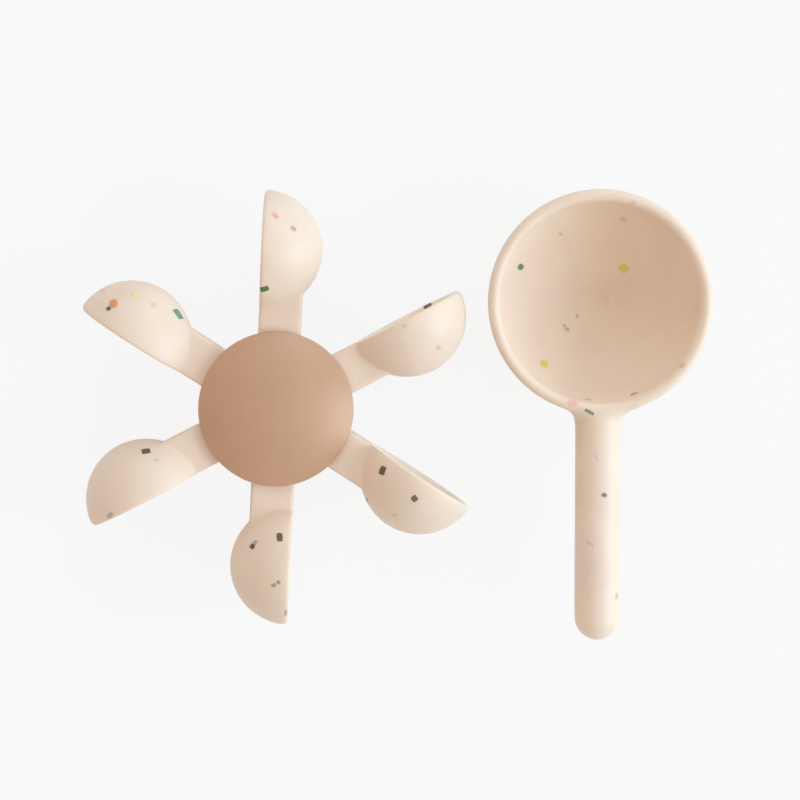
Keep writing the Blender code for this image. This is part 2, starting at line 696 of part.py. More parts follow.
def ladle_bowl():
    lip = LADLE_WALL / 2
    rim_height = LADLE_HEIGHT - lip
    inner = LADLE_RADIUS - LADLE_WALL
    inner_depth = rim_height - LADLE_FLOOR
    fullness = 1 - (LADLE_FOOT_RADIUS / LADLE_RADIUS) ** LADLE_OUTER_POWER
    outer_depth = rim_height / fullness ** (1 / LADLE_OUTER_POWER)
    foot_share = math.acos((LADLE_FOOT_RADIUS / LADLE_RADIUS) ** (LADLE_OUTER_POWER / 2)) / (math.pi / 2)
    outside = []
    for k in range(CURVE_STEPS + 1):
        share = foot_share * (1 - k / CURVE_STEPS)
        radius, depth = fuller_ellipse(LADLE_RADIUS, outer_depth, LADLE_OUTER_POWER, share)
        outside.append((radius, rim_height - depth))
    rim = arc((LADLE_RADIUS - lip, rim_height), lip, 0.0, math.pi, CURVE_STEPS // 2)[1:-1]
    inside = []
    for k in range(CURVE_STEPS + 1):
        share = k / CURVE_STEPS
        radius, depth = fuller_ellipse(inner, inner_depth, LADLE_INNER_POWER, share)
        inside.append((radius if k < CURVE_STEPS else 0.0, rim_height - depth))
    return turned([(0.0, 0.0), *outside, *rim, *inside], ROUND_STEPS)


def ladle_handle():
    """A round bar along -Y with a round end, wider where it leaves the bowl."""
    bm = bmesh.new()
    axis_z = LADLE_HEIGHT - HANDLE_DROP - HANDLE_RADIUS
    start = LADLE_RADIUS - LADLE_WALL + HANDLE_BITE
    flare_end = LADLE_RADIUS + HANDLE_FLARE_LENGTH
    stations = [(start, HANDLE_RADIUS + HANDLE_FLARE, HANDLE_RADIUS)]
    for k in range(1, CURVE_STEPS // 2 + 1):
        share = k / (CURVE_STEPS // 2)
        wider = HANDLE_FLARE * (1 - share) ** 2
        stations.append((start + (flare_end - start) * share, HANDLE_RADIUS + wider, HANDLE_RADIUS))
    ball = HANDLE_REACH - HANDLE_RADIUS
    for along, radius in arc((ball, 0.0), HANDLE_RADIUS, math.pi / 2, 0.0, CURVE_STEPS // 2)[:-1]:
        stations.append((along, radius, radius))
    rings = []
    for along, wide, high in stations:
        turns = [2 * math.pi * k / SMALL_STEPS for k in range(SMALL_STEPS)]
        rings.append(
            [bm.verts.new((wide * math.cos(a), -along, axis_z + high * math.sin(a))) for a in turns]
        )
    for ring, other in zip(rings, rings[1:]):
        skin(bm, ring + ring[:1], other + other[:1])
    bm.faces.new(rings[0])
    tip = bm.verts.new((0.0, -HANDLE_REACH, axis_z))
    for a, b in zip(rings[-1], rings[-1][1:] + rings[-1][:1]):
        bm.faces.new((a, b, tip))
    return mesh_from(bm)


def add_ladle(carrier, finish):
    add_piece("ladle", joined(ladle_bowl(), ladle_handle()), finish, carrier, LADLE_TURN)


def main():
    clear_scene()
    speckled = material("speckled_silicone", (0.86, 0.72, 0.57), 0.55)
    blush = material("blush_silicone", (0.52, 0.32, 0.21), 0.5)
    cream = material("cream_plastic", (0.80, 0.68, 0.55), 0.45)
    acetal = material("white_acetal", (0.85, 0.85, 0.82), 0.35)
    steel = material("stainless_steel", (0.62, 0.61, 0.59), 0.3, 1.0)

    base = add_carrier("wheel_base", (WHEEL_X, WHEEL_Y, 0.0))
    add_suction_cup(base, blush)
    add_mount_stem(base, cream)
    add_axle(base, steel)
    add_washers(base, acetal)
    add_retaining_clip(base, steel)

    wheel = add_carrier("wheel_turning", (WHEEL_X, WHEEL_Y, 0.0))
    add_scoops(wheel, speckled)
    add_hub_drum(wheel, cream)
    add_front_plate(wheel, cream)
    add_screws(wheel, steel)
    add_bushes(wheel, acetal)
    add_hub_cap(wheel, blush)

    ladle_x = WHEEL_X + LADLE_DISTANCE * math.cos(LADLE_BEARING)
    ladle_y = WHEEL_Y + LADLE_DISTANCE * math.sin(LADLE_BEARING)
    add_ladle(add_carrier("ladle_place", (ladle_x, ladle_y, 0.0)), speckled)


main()
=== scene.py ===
"""Looks of the bath water wheel and its pouring ladle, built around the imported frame.

The silicone pieces are modelled again as smooth meshes with soft edges and fillets, with coloured
chips pressed into the speckled ones. The rigid pieces inside the hub keep the frame's shapes, with
softened edges and their own finishes. The camera looks down from high over the set, a little left
of its middle and towards the top of the picture.
"""

import json
import math
import random

import bmesh
import bpy
from mathutils import Matrix, Vector
from mathutils.bvhtree import BVHTree


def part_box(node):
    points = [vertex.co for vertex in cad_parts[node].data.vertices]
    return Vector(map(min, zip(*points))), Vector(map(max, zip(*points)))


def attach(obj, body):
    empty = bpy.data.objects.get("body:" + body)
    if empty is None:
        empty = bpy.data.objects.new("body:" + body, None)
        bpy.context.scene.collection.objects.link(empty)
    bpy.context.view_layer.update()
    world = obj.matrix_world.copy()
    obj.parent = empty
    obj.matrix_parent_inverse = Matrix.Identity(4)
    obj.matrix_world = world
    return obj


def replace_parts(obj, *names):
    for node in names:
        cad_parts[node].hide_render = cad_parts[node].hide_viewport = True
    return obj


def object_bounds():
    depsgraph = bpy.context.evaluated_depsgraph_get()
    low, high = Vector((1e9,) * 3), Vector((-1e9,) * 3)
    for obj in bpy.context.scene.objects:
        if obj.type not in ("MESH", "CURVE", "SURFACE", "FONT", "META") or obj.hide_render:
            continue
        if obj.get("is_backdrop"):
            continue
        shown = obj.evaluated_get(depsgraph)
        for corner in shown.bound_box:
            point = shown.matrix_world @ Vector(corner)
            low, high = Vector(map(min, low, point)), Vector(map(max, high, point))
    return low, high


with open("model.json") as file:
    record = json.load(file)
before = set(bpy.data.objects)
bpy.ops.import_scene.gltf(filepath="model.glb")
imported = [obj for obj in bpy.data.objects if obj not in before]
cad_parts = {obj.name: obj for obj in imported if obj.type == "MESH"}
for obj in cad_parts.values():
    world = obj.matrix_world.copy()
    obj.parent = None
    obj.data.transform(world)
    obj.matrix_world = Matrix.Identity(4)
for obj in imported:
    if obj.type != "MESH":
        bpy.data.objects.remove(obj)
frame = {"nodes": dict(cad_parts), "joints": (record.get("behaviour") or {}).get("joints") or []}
cad_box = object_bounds()

MM = 0.001
MERGE = 0.001 * MM

# Places and sizes that the frame gives
AXIS = Vector(frame["joints"][0]["pos_m"])
SCOOP_LOW, SCOOP_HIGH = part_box("scoop_1")
CAP_LOW, CAP_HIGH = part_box("hub_cap")
LADLE_LOW, LADLE_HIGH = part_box("ladle")

# Scoops of the wheel
SCOOP_COUNT = 6
FIRST_SCOOP_ANGLE = math.radians(87.2)
TIP_RADIUS = 78.2 * MM
BOWL_RADIUS = (SCOOP_HIGH.z - SCOOP_LOW.z) / 2
BOWL_CENTRE = TIP_RADIUS - BOWL_RADIUS
BOWL_WALL = 3.0 * MM
BOWL_INSIDE = BOWL_RADIUS - BOWL_WALL
ARM_WIDTH = 15.4 * MM
ARM_HEIGHT = 13.0 * MM
ARM_START = 22.81 * MM
SCOOP_EDGE = 0.6 * MM
SCOOP_FILLET = 1.8 * MM
FACE_Y = ARM_WIDTH / 2
ARM_TOP = ARM_HEIGHT / 2
ARM_FACE_TOP = ARM_TOP - SCOOP_EDGE
LIP_INSIDE = 1.5 * MM
# How far from the lip the painted light on the bowl's inside fades out
PAINTED_LIGHT_FADE = 9.0 * MM
# The tip's rounding, and how fast it fades along the bowl's round
TIP_ROUNDING = 0.6 * MM
TIP_ROUNDING_POWER = 6
NECK_WIDTH = 12.0 * MM
NECK_HEIGHT = 12.0 * MM
TEE_WIDTH = 15.0 * MM
TEE_OUTER = 16.51 * MM
TEE_INNER = 13.51 * MM
TEE_FACE_SHARE = 0.8

# Hub cap
CAP_RADIUS = (CAP_HIGH.x - CAP_LOW.x) / 2
CAP_SIDE = 2.5 * MM
CAP_DRAFT = 0.3 * MM
CAP_SHELL = 3.0 * MM
CAP_BEAD_RADIUS = 22.21 * MM
CAP_BEAD = 0.7 * MM
CAP_BORE = 23.31 * MM
CAP_SEAT_Z = 36.7 * MM
CAP_SEAT_INNER = 20.3 * MM
CAP_SEAT_ROUNDING = 0.3 * MM
CAP_GROOVE_ROUNDING = 0.1 * MM
CAP_BEAD_ROUNDING = 0.2 * MM
CAP_FOOT_ROUNDING = 0.4 * MM
CAP_EDGE_ROUNDING = 0.6 * MM

# Suction cup
SUCTION_RADIUS = 25.0 * MM
SUCTION_LIP = 3.5 * MM
SUCTION_LIP_HEIGHT = 1.2 * MM
SUCTION_HOLLOW = 3.4 * MM
SUCTION_SHOULDER = 6.5 * MM
SUCTION_HEIGHT = 12.5 * MM
SUCTION_NECK = 10.2 * MM
SUCTION_POCKET = 7.5 * MM
SUCTION_POCKET_Z = 5.9 * MM
SUCTION_NECK_ROUNDING = 0.5 * MM
SUCTION_ROUNDING = 0.3 * MM
TAB_LENGTH = 5.0 * MM
TAB_WIDTH = 10.0 * MM
TAB_ANGLE = math.radians(147.2)

# Ladle, and the rings of points that its foot and floor need beside their outlines
LADLE_RADIUS = (LADLE_HIGH.x - LADLE_LOW.x) / 2
LADLE_CENTRE = Vector((LADLE_LOW.x + LADLE_RADIUS, LADLE_HIGH.y - LADLE_RADIUS, 0.0))
LADLE_HEIGHT = LADLE_HIGH.z
LADLE_WALL = 4.2 * MM
LADLE_FLOOR = 4.0 * MM
LADLE_FOOT = 22.5 * MM
LADLE_FOOT_FLAT = 1.5 * MM
LADLE_FOOT_EDGE = 0.4 * MM
LADLE_FOOT_RISE = 0.3 * MM
LADLE_MIDDLE_RING = 2.0 * MM
LADLE_FOOT_RING = 12.0 * MM
LADLE_FLOOR_RING = 7.0 * MM
LADLE_OUTER_POWER = 2.3
LADLE_INNER_POWER = 2.2
LADLE_WALL_SHARES = (0.93, 0.82, 0.68, 0.545, 0.36, 0.19)
LADLE_TURN = math.radians(-0.1)
HANDLE_RADIUS = 8.2 * MM
HANDLE_REACH = LADLE_CENTRE.y - LADLE_LOW.y
HANDLE_DROP = 0.4 * MM
HANDLE_AXIS_Z = LADLE_HEIGHT - HANDLE_DROP - HANDLE_RADIUS
HANDLE_FLARE = 0.6 * MM
HANDLE_FLARE_LENGTH = 6.0 * MM
# Shares of the flare's length and of its widening
HANDLE_FLARE_RINGS = ((0.2, 1.0), (0.5, 0.2))
# The last ring before the handle's tip, in shares of the handle's radius
HANDLE_TIP_ALONG = 0.998
HANDLE_TIP_SIZE = 0.07

# Rigid pieces of the hub: node, body, material slot, softening of the edges
RIGID_PIECES = [
    ("hub_drum", "wheel", "cream_plastic", 0.2 * MM),
    ("hub_front_plate", "wheel", "cream_plastic", 0.15 * MM),
    ("mount_stem", "base", "cream_plastic", 0.2 * MM),
    ("rear_bush", "wheel", "white_acetal", 0.1 * MM),
    ("front_bush", "wheel", "white_acetal", 0.1 * MM),
    ("rear_thrust_washer", "base", "white_acetal", 0.1 * MM),
    ("front_thrust_washer", "base", "white_acetal", 0.1 * MM),
    ("hub_screw_1", "wheel", "stainless_steel", 0.05 * MM),
    ("hub_screw_2", "wheel", "stainless_steel", 0.05 * MM),
    ("hub_screw_3", "wheel", "stainless_steel", 0.05 * MM),
    ("axle", "base", "stainless_steel", 0.1 * MM),
    ("retaining_clip", "base", "stainless_steel", 0.1 * MM),
]

# Camera high over the set, and the photograph's scale at the point that it looks at
CAMERA_EYE = Vector((-30.4 * MM, 50.6 * MM, AXIS.z + 900.0 * MM))
CAMERA_AIM = Vector((1.0 * MM, 5.6 * MM, AXIS.z))
CAMERA_BACK = (CAMERA_EYE - CAMERA_AIM).normalized()
CAMERA_RIGHT = Vector((0.0, 1.0, 0.0)).cross(CAMERA_BACK).normalized()
CAMERA_UP = CAMERA_BACK.cross(CAMERA_RIGHT)
CAMERA_REACH = (CAMERA_EYE - CAMERA_AIM).length
PHOTO_SIZE = 800
PIXEL = 0.36 * MM
SENSOR = 36.0
CLIP_START = 0.01
CLIP_END = 20.0

# Chips that the photograph shows:
# pixel column, pixel row, width and height in pixels, turn in degrees, colour, shape
SEEN_CHIPS = {
    "scoop_1": [
        (275, 215, 10, 6, -45, "rose", "soft"),
        (276.5, 217, 5, 3, -45, "rose", "flake"),
        (293.5, 228.5, 6, 4.5, -30, "mauve", "flake"),
        (262.5, 289.5, 4.5, 5, 10, "green", "shard"),
        (266.5, 288.5, 5, 5, 25, "green", "flake"),
    ],
    "scoop_2": [
        (427.5, 305.5, 9, 5, 26, "umber", "shard"),
        (405, 326, 8, 5, 20, "faint_rose", "soft"),
        (439, 347.5, 7, 6, 40, "faint_grey", "soft"),
    ],
    "scoop_3": [
        (382.5, 470.5, 6, 9, -18, "brown", "shard"),
        (414.5, 498.5, 6, 6, 40, "umber", "shard"),
        (394.5, 515, 7, 6, 20, "faint_yellow", "soft"),
        (367, 500, 3, 5, 10, "slate", "flake"),
    ],
    "scoop_4": [
        (279.6, 537, 6, 8, 0, "brown", "shard"),
        (252.4, 546.3, 5, 6, -28, "brown", "flake"),
        (255.2, 542.6, 4, 5, -28, "grey", "flake"),
        (273.8, 585.2, 5, 3.6, 25, "slate", "flake"),
        (278.6, 582.2, 4, 4, 30, "slate", "flake"),
        (286, 613, 3.5, 6, 0, "ash", "flake"),
    ],
    "scoop_5": [
        (146, 451, 9, 5, 8, "brown", "shard"),
        (156.5, 460, 5, 4, 30, "faint_grey", "soft"),
        (110, 515.5, 5, 7, -30, "ash", "flake"),
        (191, 477, 4, 3, 20, "faint_grey", "soft"),
    ],
    "scoop_6": [
        (113.5, 303.5, 9, 9, 20, "orange", "round"),
        (108.5, 308.5, 5, 4, 35, "green", "flake"),
        (136, 294, 10, 9, 20, "pale_yellow", "soft"),
        (154, 305, 9, 7, -20, "faint_rose", "soft"),
        (178.5, 314, 12, 4.5, -55, "teal", "shard"),
        (102, 291, 10, 7, 10, "faint_rose", "soft"),
    ],
    "ladle": [
        (520.5, 267, 5.5, 7, -25, "sage", "flake"),
        (623.5, 268.5, 9.5, 9, 15, "yellow", "round"),
        (544, 364, 8, 7.5, 10, "yellow", "round"),
        (560.5, 234, 7, 5, -5, "faint_grey", "soft"),
        (623, 219, 10, 6, -5, "faint_grey", "soft"),
        (577, 316, 4.5, 6, 10, "faint_umber", "soft"),
        (564.6, 326.3, 5, 8, 35, "faint_umber", "soft"),
        (567.4, 329.6, 5, 4.5, -10, "faint_umber", "flake"),
        (634, 394, 8, 3.5, 25, "red", "flake"),
        (588, 399.7, 10, 4.5, -8, "faint_umber", "soft"),
        (589.5, 412, 10, 3.2, -28, "grey_green", "shard"),
        (573, 403, 13, 12, -35, "rose", "soft"),
        (682.5, 365.3, 7, 4.5, 20, "faint_orange", "flake"),
        (632.6, 203.6, 10, 7, 10, "faint_rose", "soft"),
        (597, 457.5, 11, 3.5, -60, "faint_rose", "soft"),
        (604.3, 495, 8, 6, -8, "umber", "soft"),
        (590, 543, 11, 3.5, -38, "faint_grey", "soft"),
        (616.7, 596, 3.5, 9, -10, "mauve", "soft"),
    ],
}
CHIP_COLOURS = {
    "brown": (0.16, 0.105, 0.06),
    "umber": (0.20, 0.14, 0.105),
    "grey": (0.50, 0.38, 0.28),
    "ash": (0.56, 0.46, 0.38),
    "slate": (0.42, 0.35, 0.27),
    "green": (0.08, 0.19, 0.10),
    "sage": (0.14, 0.24, 0.13),
    "teal": (0.16, 0.31, 0.18),
    "grey_green": (0.26, 0.30, 0.22),
    "yellow": (0.74, 0.61, 0.11),
    "orange": (0.80, 0.30, 0.13),
    "rose": (0.86, 0.48, 0.38),
    "mauve": (0.60, 0.42, 0.34),
    "red": (0.62, 0.29, 0.21),
    "pale_yellow": (0.84, 0.69, 0.36),
    "faint_rose": (0.82, 0.55, 0.45),
    "faint_grey": (0.66, 0.53, 0.41),
    "faint_umber": (0.60, 0.47, 0.35),
    "faint_yellow": (0.79, 0.61, 0.38),
    "faint_orange": (0.75, 0.54, 0.35),
}
CHIP_NAMES = list(CHIP_COLOURS)
# Shapes of a chip: how square its outline is, and how far it covers the silicone at each of its rings
CHIP_SHAPES = {
    "shard": (8.0, (1.0, 1.0, 1.0, 1.0, 1.0)),
    "flake": (3.0, (1.0, 1.0, 1.0, 1.0, 0.7)),
    "round": (2.5, (1.0, 1.0, 1.0, 0.95, 0.5)),
    "soft": (2.0, (1.0, 0.95, 0.75, 0.45, 0.0)),
}
CHIP_RINGS = (0.0, 0.3, 0.55, 0.8, 1.0)
CHIP_SIDES = 16
CHIP_LEAN = 0.2
CHIP_UNEVENNESS = (0.9, 1.06)
CHIP_LIFT = 0.06 * MM
CHIP_SINK = 0.25 * MM
CHIP_SEED = 7
# Least cosine between a sight line and the surface's normal, so that no chip slides far along it
CHIP_SLANT = 0.4
# How far hidden chips stay from each other, a foot or a root, and from what the camera sees
CHIP_CLEAR = 4.0 * MM
CHIP_HIDDEN = 2.5 * MM
HIDDEN_CHIPS_PER_SCOOP = 7
HIDDEN_CHIPS_ON_LADLE = 22
HIDDEN_CHIP_SIZES = (1.6 * MM, 3.2 * MM)

# Finishes. A pattern is the scale of a noise per metre, and its detail
COVER = "cover"
CREAM = (0.855, 0.69, 0.545)
# Painted light: a paler cream on the scoops' inside near the lip, standing in for light coming through
# the thin silicone
LIP_PAINTED_LIGHT = (0.96, 0.81, 0.69)
BLUSH = (0.565, 0.33, 0.21)
BLUSH_SHINE = (1.0, 0.8, 0.6)
# Silicones: colour, mottling, roughness, gloss
SPECKLED = (CREAM, 0.025, 0.5, 0.45)
BLUSHED = (BLUSH, 0.03, 0.42, 0.9)
SPECKLED_SUBSURFACE = 0.25
BLUSHED_SUBSURFACE = 0.12
CHIP_SUBSURFACE = 0.0
SUBSURFACE_RADIUS = (1.0, 0.6, 0.4)
SUBSURFACE_DEPTH = 2.0 * MM
SILICONE_MOTTLE = (55.0, 3.0)
SILICONE_GRAIN = (2600.0, 2.0)
SILICONE_GRAIN_DEPTH = 0.012 * MM
SILICONE_GRAIN_ROUGHNESS = 0.05
COVER_MOTTLE = (300.0, 2.0)
COVER_VARY = 0.015
# Plastics: colour, roughness
CREAM_PLASTIC = ((0.80, 0.66, 0.52), 0.42)
ACETAL = ((0.84, 0.84, 0.80), 0.34)
PLASTIC_MOTTLE = (90.0, 2.0)
PLASTIC_VARY = 0.04
PLASTIC_GRAIN = (1800.0, 3.0)
PLASTIC_GRAIN_DEPTH = 0.02 * MM
PLASTIC_GRAIN_ROUGHNESS = 0.07
STEEL = (0.62, 0.61, 0.59)
STEEL_PATTERN = (900.0, 4.0)
STEEL_TINTS = (0.92, 1.06)
STEEL_ROUGHNESS = (0.22, 0.36)
RAMP_ENDS = (0.35, 0.65)
SPREAD_ENDS = (0.3, 0.7)

# Floor and light
FLOOR_REACH = 4.0
FLOOR_PATTERN = (3.0, 2.0)
FLOOR_GREYS = (0.80, 0.82)
FLOOR_ROUGHNESS = 0.9
FLOOR_GLOSS = 0.1
FLOOR_LEVEL = 0.97
FLOOR_GLOW_SHARE = 0.9
AMBIENT = 0.665
WARM = (1.08, 1.0, 0.935)
COOL = (0.72, 1.0, 1.245)
LAMP_DISTANCE = 2.5
LAMP_SIZE = 1.6
# Lamps: azimuth and elevation in degrees, level
LAMPS = {
    "key": (-10, 25, 0.615),
    "side": (80, 25, 0.24),
}

# Facets
LATHE_STEPS = 128
ARC_STEPS = 10
CROWN_STEPS = 40
CROWN_EDGE_STEPS = 2
FLARE_STEPS = 20
# Of a scoop: along the arm, over its faces, round the bowl, down its side, its back and its inside
RUN_STEPS = 4
ARM_STATIONS = RUN_STEPS + 3
ARM_ROWS = 6
ROUND_STEPS = 26
SIDE_STEPS = 5
DOME_STEPS = 5
INSIDE_STEPS = 8
# A bowl's rings end at this tilt, and a fan closes its bottom
BOTTOM_TILT = math.radians(87)
LADLE_STEPS = 48
LADLE_LIP_SIDES = 8
LADLE_INSIDE_STEPS = 10
# The patch of the ladle's skin that the handle grows from: columns on each side of the handle,
# steps from its lowest row to its highest, and how many of its rows are on the wall under the lip
PATCH_COLUMNS = 2
PATCH_ROWS = 4
PATCH_WALL_ROWS = 2
HANDLE_SIDES = 4 * PATCH_COLUMNS + 2 * PATCH_ROWS
# The first point of a ring round the handle, which joins the patch's first corner
HANDLE_FIRST_ANGLE = math.radians(135)
HANDLE_STEPS = 8
HANDLE_END_STEPS = 6
SMOOTH_LEVELS = 2
SMOOTH_ANGLE = math.radians(32)
FLAT_ANGLE = math.radians(0.5)
BEVEL_SEGMENTS = 2
BEVEL_ROUND = 0.5


# Mesh helpers

def grid(bm, rows):
    """Quads over rows of points. Points of two grids that meet become one when the mesh is closed."""
    made = [[bm.verts.new(point) for point in row] for row in rows]
    for row, other in zip(made, made[1:]):
        for (a, b), (c, d) in zip(zip(row, row[1:]), zip(other, other[1:])):
            bm.faces.new((a, b, d, c))


def fan(bm, ring, tip):
    """Triangles from a closed ring of points to a tip."""
    made = [bm.verts.new(point) for point in ring]
    top = bm.verts.new(tip)
    for a, b in zip(made, made[1:] + made[:1]):
        bm.faces.new((a, b, top))


def loop(ring):
    """The ring with its first point once more at its end."""
    return ring + ring[:1]


def closed_mesh(bm, name):
    """The bmesh as a mesh with merged seams that faces out."""
    bmesh.ops.remove_doubles(bm, verts=bm.verts, dist=MERGE)
    bmesh.ops.recalc_face_normals(bm, faces=bm.faces)
    mesh = bpy.data.meshes.new(name)
    bm.to_mesh(mesh)
    bm.free()
    mesh.shade_smooth()
    return mesh


def subdivided(mesh):
    """The mesh after smooth subdivision."""
    helper = bpy.data.objects.new("helper", mesh)
    bpy.context.scene.collection.objects.link(helper)
    smooth = helper.modifiers.new("smooth", "SUBSURF")
    smooth.levels = SMOOTH_LEVELS
    smooth.render_levels = SMOOTH_LEVELS
    graph = bpy.context.evaluated_depsgraph_get()
    result = bpy.data.meshes.new_from_object(helper.evaluated_get(graph))
    bpy.data.objects.remove(helper)
    result.shade_smooth()
    return result


def cage(radius, sides):
    """The radius of a ring of points that smooth subdivision draws in to the radius asked for."""
    return radius * 3 / (2 + math.cos(2 * math.pi / sides))


def add_piece(name, mesh, finish, body, slot, place=Matrix.Identity(4)):
    piece = bpy.data.objects.new(name, mesh)
    bpy.context.scene.collection.objects.link(piece)
    piece.matrix_world = place
    if not mesh.materials:
        mesh.materials.append(finish)
    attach(piece, body)
    return piece


def rounded(profile):
    """A closed (radius, height) profile whose corners are rounded.

    Each point that is given is (radius, height, rounding).
    """
    made = []
    count = len(profile)
    for k, (radius, height, rounding) in enumerate(profile):
        corner = Vector((radius, height))
        if rounding == 0.0:
            made.append(corner)
            continue
        before = Vector(profile[k - 1][:2])
        after = Vector(profile[(k + 1) % count][:2])
        start = corner + (before - corner).normalized() * rounding
        end = corner + (after - corner).normalized() * rounding
        for step in range(ARC_STEPS + 1):
            share = step / ARC_STEPS
            made.append(start.lerp(corner, share).lerp(corner.lerp(end, share), share))
    return made


def lathe(profile, name):
    """A closed solid turned about Z, from (radius, height) points that start and end on the axis."""
    bm = bmesh.new()
    turns = [2 * math.pi * k / LATHE_STEPS for k in range(LATHE_STEPS + 1)]
    rings = []
    for radius, height in profile[1:-1]:
        rings.append([(radius * math.cos(a), radius * math.sin(a), height) for a in turns])
    grid(bm, rings)
    for ring, (radius, height) in ((rings[0], profile[0]), (rings[-1], profile[-1])):
        if radius == 0.0:
            fan(bm, ring[:-1], (0.0, 0.0, height))
    return closed_mesh(bm, name)


# Finishes

def shader_of(name):
    made = bpy.data.materials.new(name)
    made.use_nodes = True
    return made, made.node_tree, made.node_tree.nodes["Principled BSDF"]


def noise(tree, scale, detail):
    """A noise pattern in the piece's own metres."""
    place = tree.nodes.new("ShaderNodeTexCoord")
    pattern = tree.nodes.new("ShaderNodeTexNoise")
    pattern.inputs["Scale"].default_value = scale
    pattern.inputs["Detail"].default_value = detail
    tree.links.new(place.outputs["Object"], pattern.inputs["Vector"])
    return pattern.outputs["Fac"]


def ramp(tree, factor, low, high):
    """A colour that runs from low to high as the pattern rises."""
    made = tree.nodes.new("ShaderNodeValToRGB")
    for stop, place, colour in zip(made.color_ramp.elements, RAMP_ENDS, (low, high)):
        stop.position = place
        stop.color = (*colour, 1.0)
    tree.links.new(factor, made.inputs["Fac"])
    return made.outputs["Color"]


def spread(tree, factor, low, high):
    """A number that runs from low to high with the pattern."""
    made = tree.nodes.new("ShaderNodeMapRange")
    made.inputs["From Min"].default_value = SPREAD_ENDS[0]
    made.inputs["From Max"].default_value = SPREAD_ENDS[1]
    made.inputs["To Min"].default_value = low
    made.inputs["To Max"].default_value = high
    tree.links.new(factor, made.inputs["Value"])
    return made.outputs["Result"]


def bump(tree, shader, factor, depth):
    made = tree.nodes.new("ShaderNodeBump")
    made.inputs["Strength"].default_value = 1.0
    made.inputs["Distance"].default_value = depth
    tree.links.new(factor, made.inputs["Height"])
    tree.links.new(made.outputs["Normal"], shader.inputs["Normal"])


def tinted(colour, factor):
    return tuple(min(1.0, channel * factor) for channel in colour)


def mottled(tree, pattern, colour, vary):
    """The colour, a little darker and lighter in turn."""
    return ramp(tree, noise(tree, *pattern), tinted(colour, 1.0 - vary), tinted(colour, 1.0 + vary))


def grained(tree, shader, pattern, depth, roughness, vary):
    """A fine moulded grain, in the surface's height and in its roughness."""
    grain = noise(tree, *pattern)
    uneven = spread(tree, grain, roughness - vary, roughness + vary)
    tree.links.new(uneven, shader.inputs["Roughness"])
    bump(tree, shader, grain, depth)


def covered(tree, under, colour):
    """Another colour over the silicone under it, as far as the mesh says that it is covered."""
    over = mottled(tree, COVER_MOTTLE, colour, COVER_VARY)
    cover = tree.nodes.new("ShaderNodeAttribute")
    cover.attribute_name = COVER
    mix = tree.nodes.new("ShaderNodeMix")
    mix.data_type = "RGBA"
    ways_in = {socket.identifier: socket for socket in mix.inputs}
    ways_out = {socket.identifier: socket for socket in mix.outputs}
    tree.links.new(cover.outputs["Fac"], ways_in["Factor_Float"])
    tree.links.new(under, ways_in["A_Color"])
    tree.links.new(over, ways_in["B_Color"])
    return ways_out["Result_Color"]


def silicone(name, colour, vary, roughness, gloss, subsurface, cover=None, shine=(1.0, 1.0, 1.0)):
    """Matte silicone: soft mottling, a fine moulded grain and some light inside."""
    made, tree, shader = shader_of(name)
    base = mottled(tree, SILICONE_MOTTLE, colour, vary)
    # A covering colour: the chips' own colour, and on the scoops the painted light near the lip
    if cover:
        base = covered(tree, base, cover)
    tree.links.new(base, shader.inputs["Base Color"])
    grained(tree, shader, SILICONE_GRAIN, SILICONE_GRAIN_DEPTH, roughness, SILICONE_GRAIN_ROUGHNESS)
    shader.inputs["Specular IOR Level"].default_value = gloss
    shader.inputs["Specular Tint"].default_value = (*shine, 1.0)
    shader.inputs["Subsurface Weight"].default_value = subsurface
    shader.inputs["Subsurface Radius"].default_value = SUBSURFACE_RADIUS
    shader.inputs["Subsurface Scale"].default_value = SUBSURFACE_DEPTH
    return made


def plastic(name, colour, roughness):
    """Moulded plastic with a fine spark-eroded grain."""
    made, tree, shader = shader_of(name)
    base = mottled(tree, PLASTIC_MOTTLE, colour, PLASTIC_VARY)
    tree.links.new(base, shader.inputs["Base Color"])
    grained(tree, shader, PLASTIC_GRAIN, PLASTIC_GRAIN_DEPTH, roughness, PLASTIC_GRAIN_ROUGHNESS)
    return made


def steel(name, colour):
    """Stainless steel with a fine uneven shine."""
    made, tree, shader = shader_of(name)
    pattern = noise(tree, *STEEL_PATTERN)
    low, high = [tinted(colour, tint) for tint in STEEL_TINTS]
    tree.links.new(ramp(tree, pattern, low, high), shader.inputs["Base Color"])
    tree.links.new(spread(tree, pattern, *STEEL_ROUGHNESS), shader.inputs["Roughness"])
    shader.inputs["Metallic"].default_value = 1.0
    return made


ladle_finish = silicone("speckled_silicone_finish", *SPECKLED, SPECKLED_SUBSURFACE)
# The scoops' silicone, with painted light: a paler cream covers the inside near the lip
scoop_lip_light_finish = silicone("scoop_silicone_painted_lip_light", *SPECKLED, SPECKLED_SUBSURFACE, LIP_PAINTED_LIGHT)
blush_finish = silicone("blush_silicone_finish", *BLUSHED, BLUSHED_SUBSURFACE, shine=BLUSH_SHINE)
rigid_finishes = {
    "cream_plastic": plastic("cream_plastic_finish", *CREAM_PLASTIC),
    "white_acetal": plastic("white_acetal_finish", *ACETAL),
    "stainless_steel": steel("stainless_steel_finish", STEEL),
}
chip_finishes = {
    name: silicone(f"chip_{name}", *SPECKLED, CHIP_SUBSURFACE, colour)
    for name, colour in CHIP_COLOURS.items()
}


# Scoops, each in its own frame: +X runs from the axle to the tip, and the open face looks along +Y

def section_radius(radius, depth):
    """The radius of a ball's section at a distance from its middle."""
    return math.sqrt(radius**2 - depth**2)


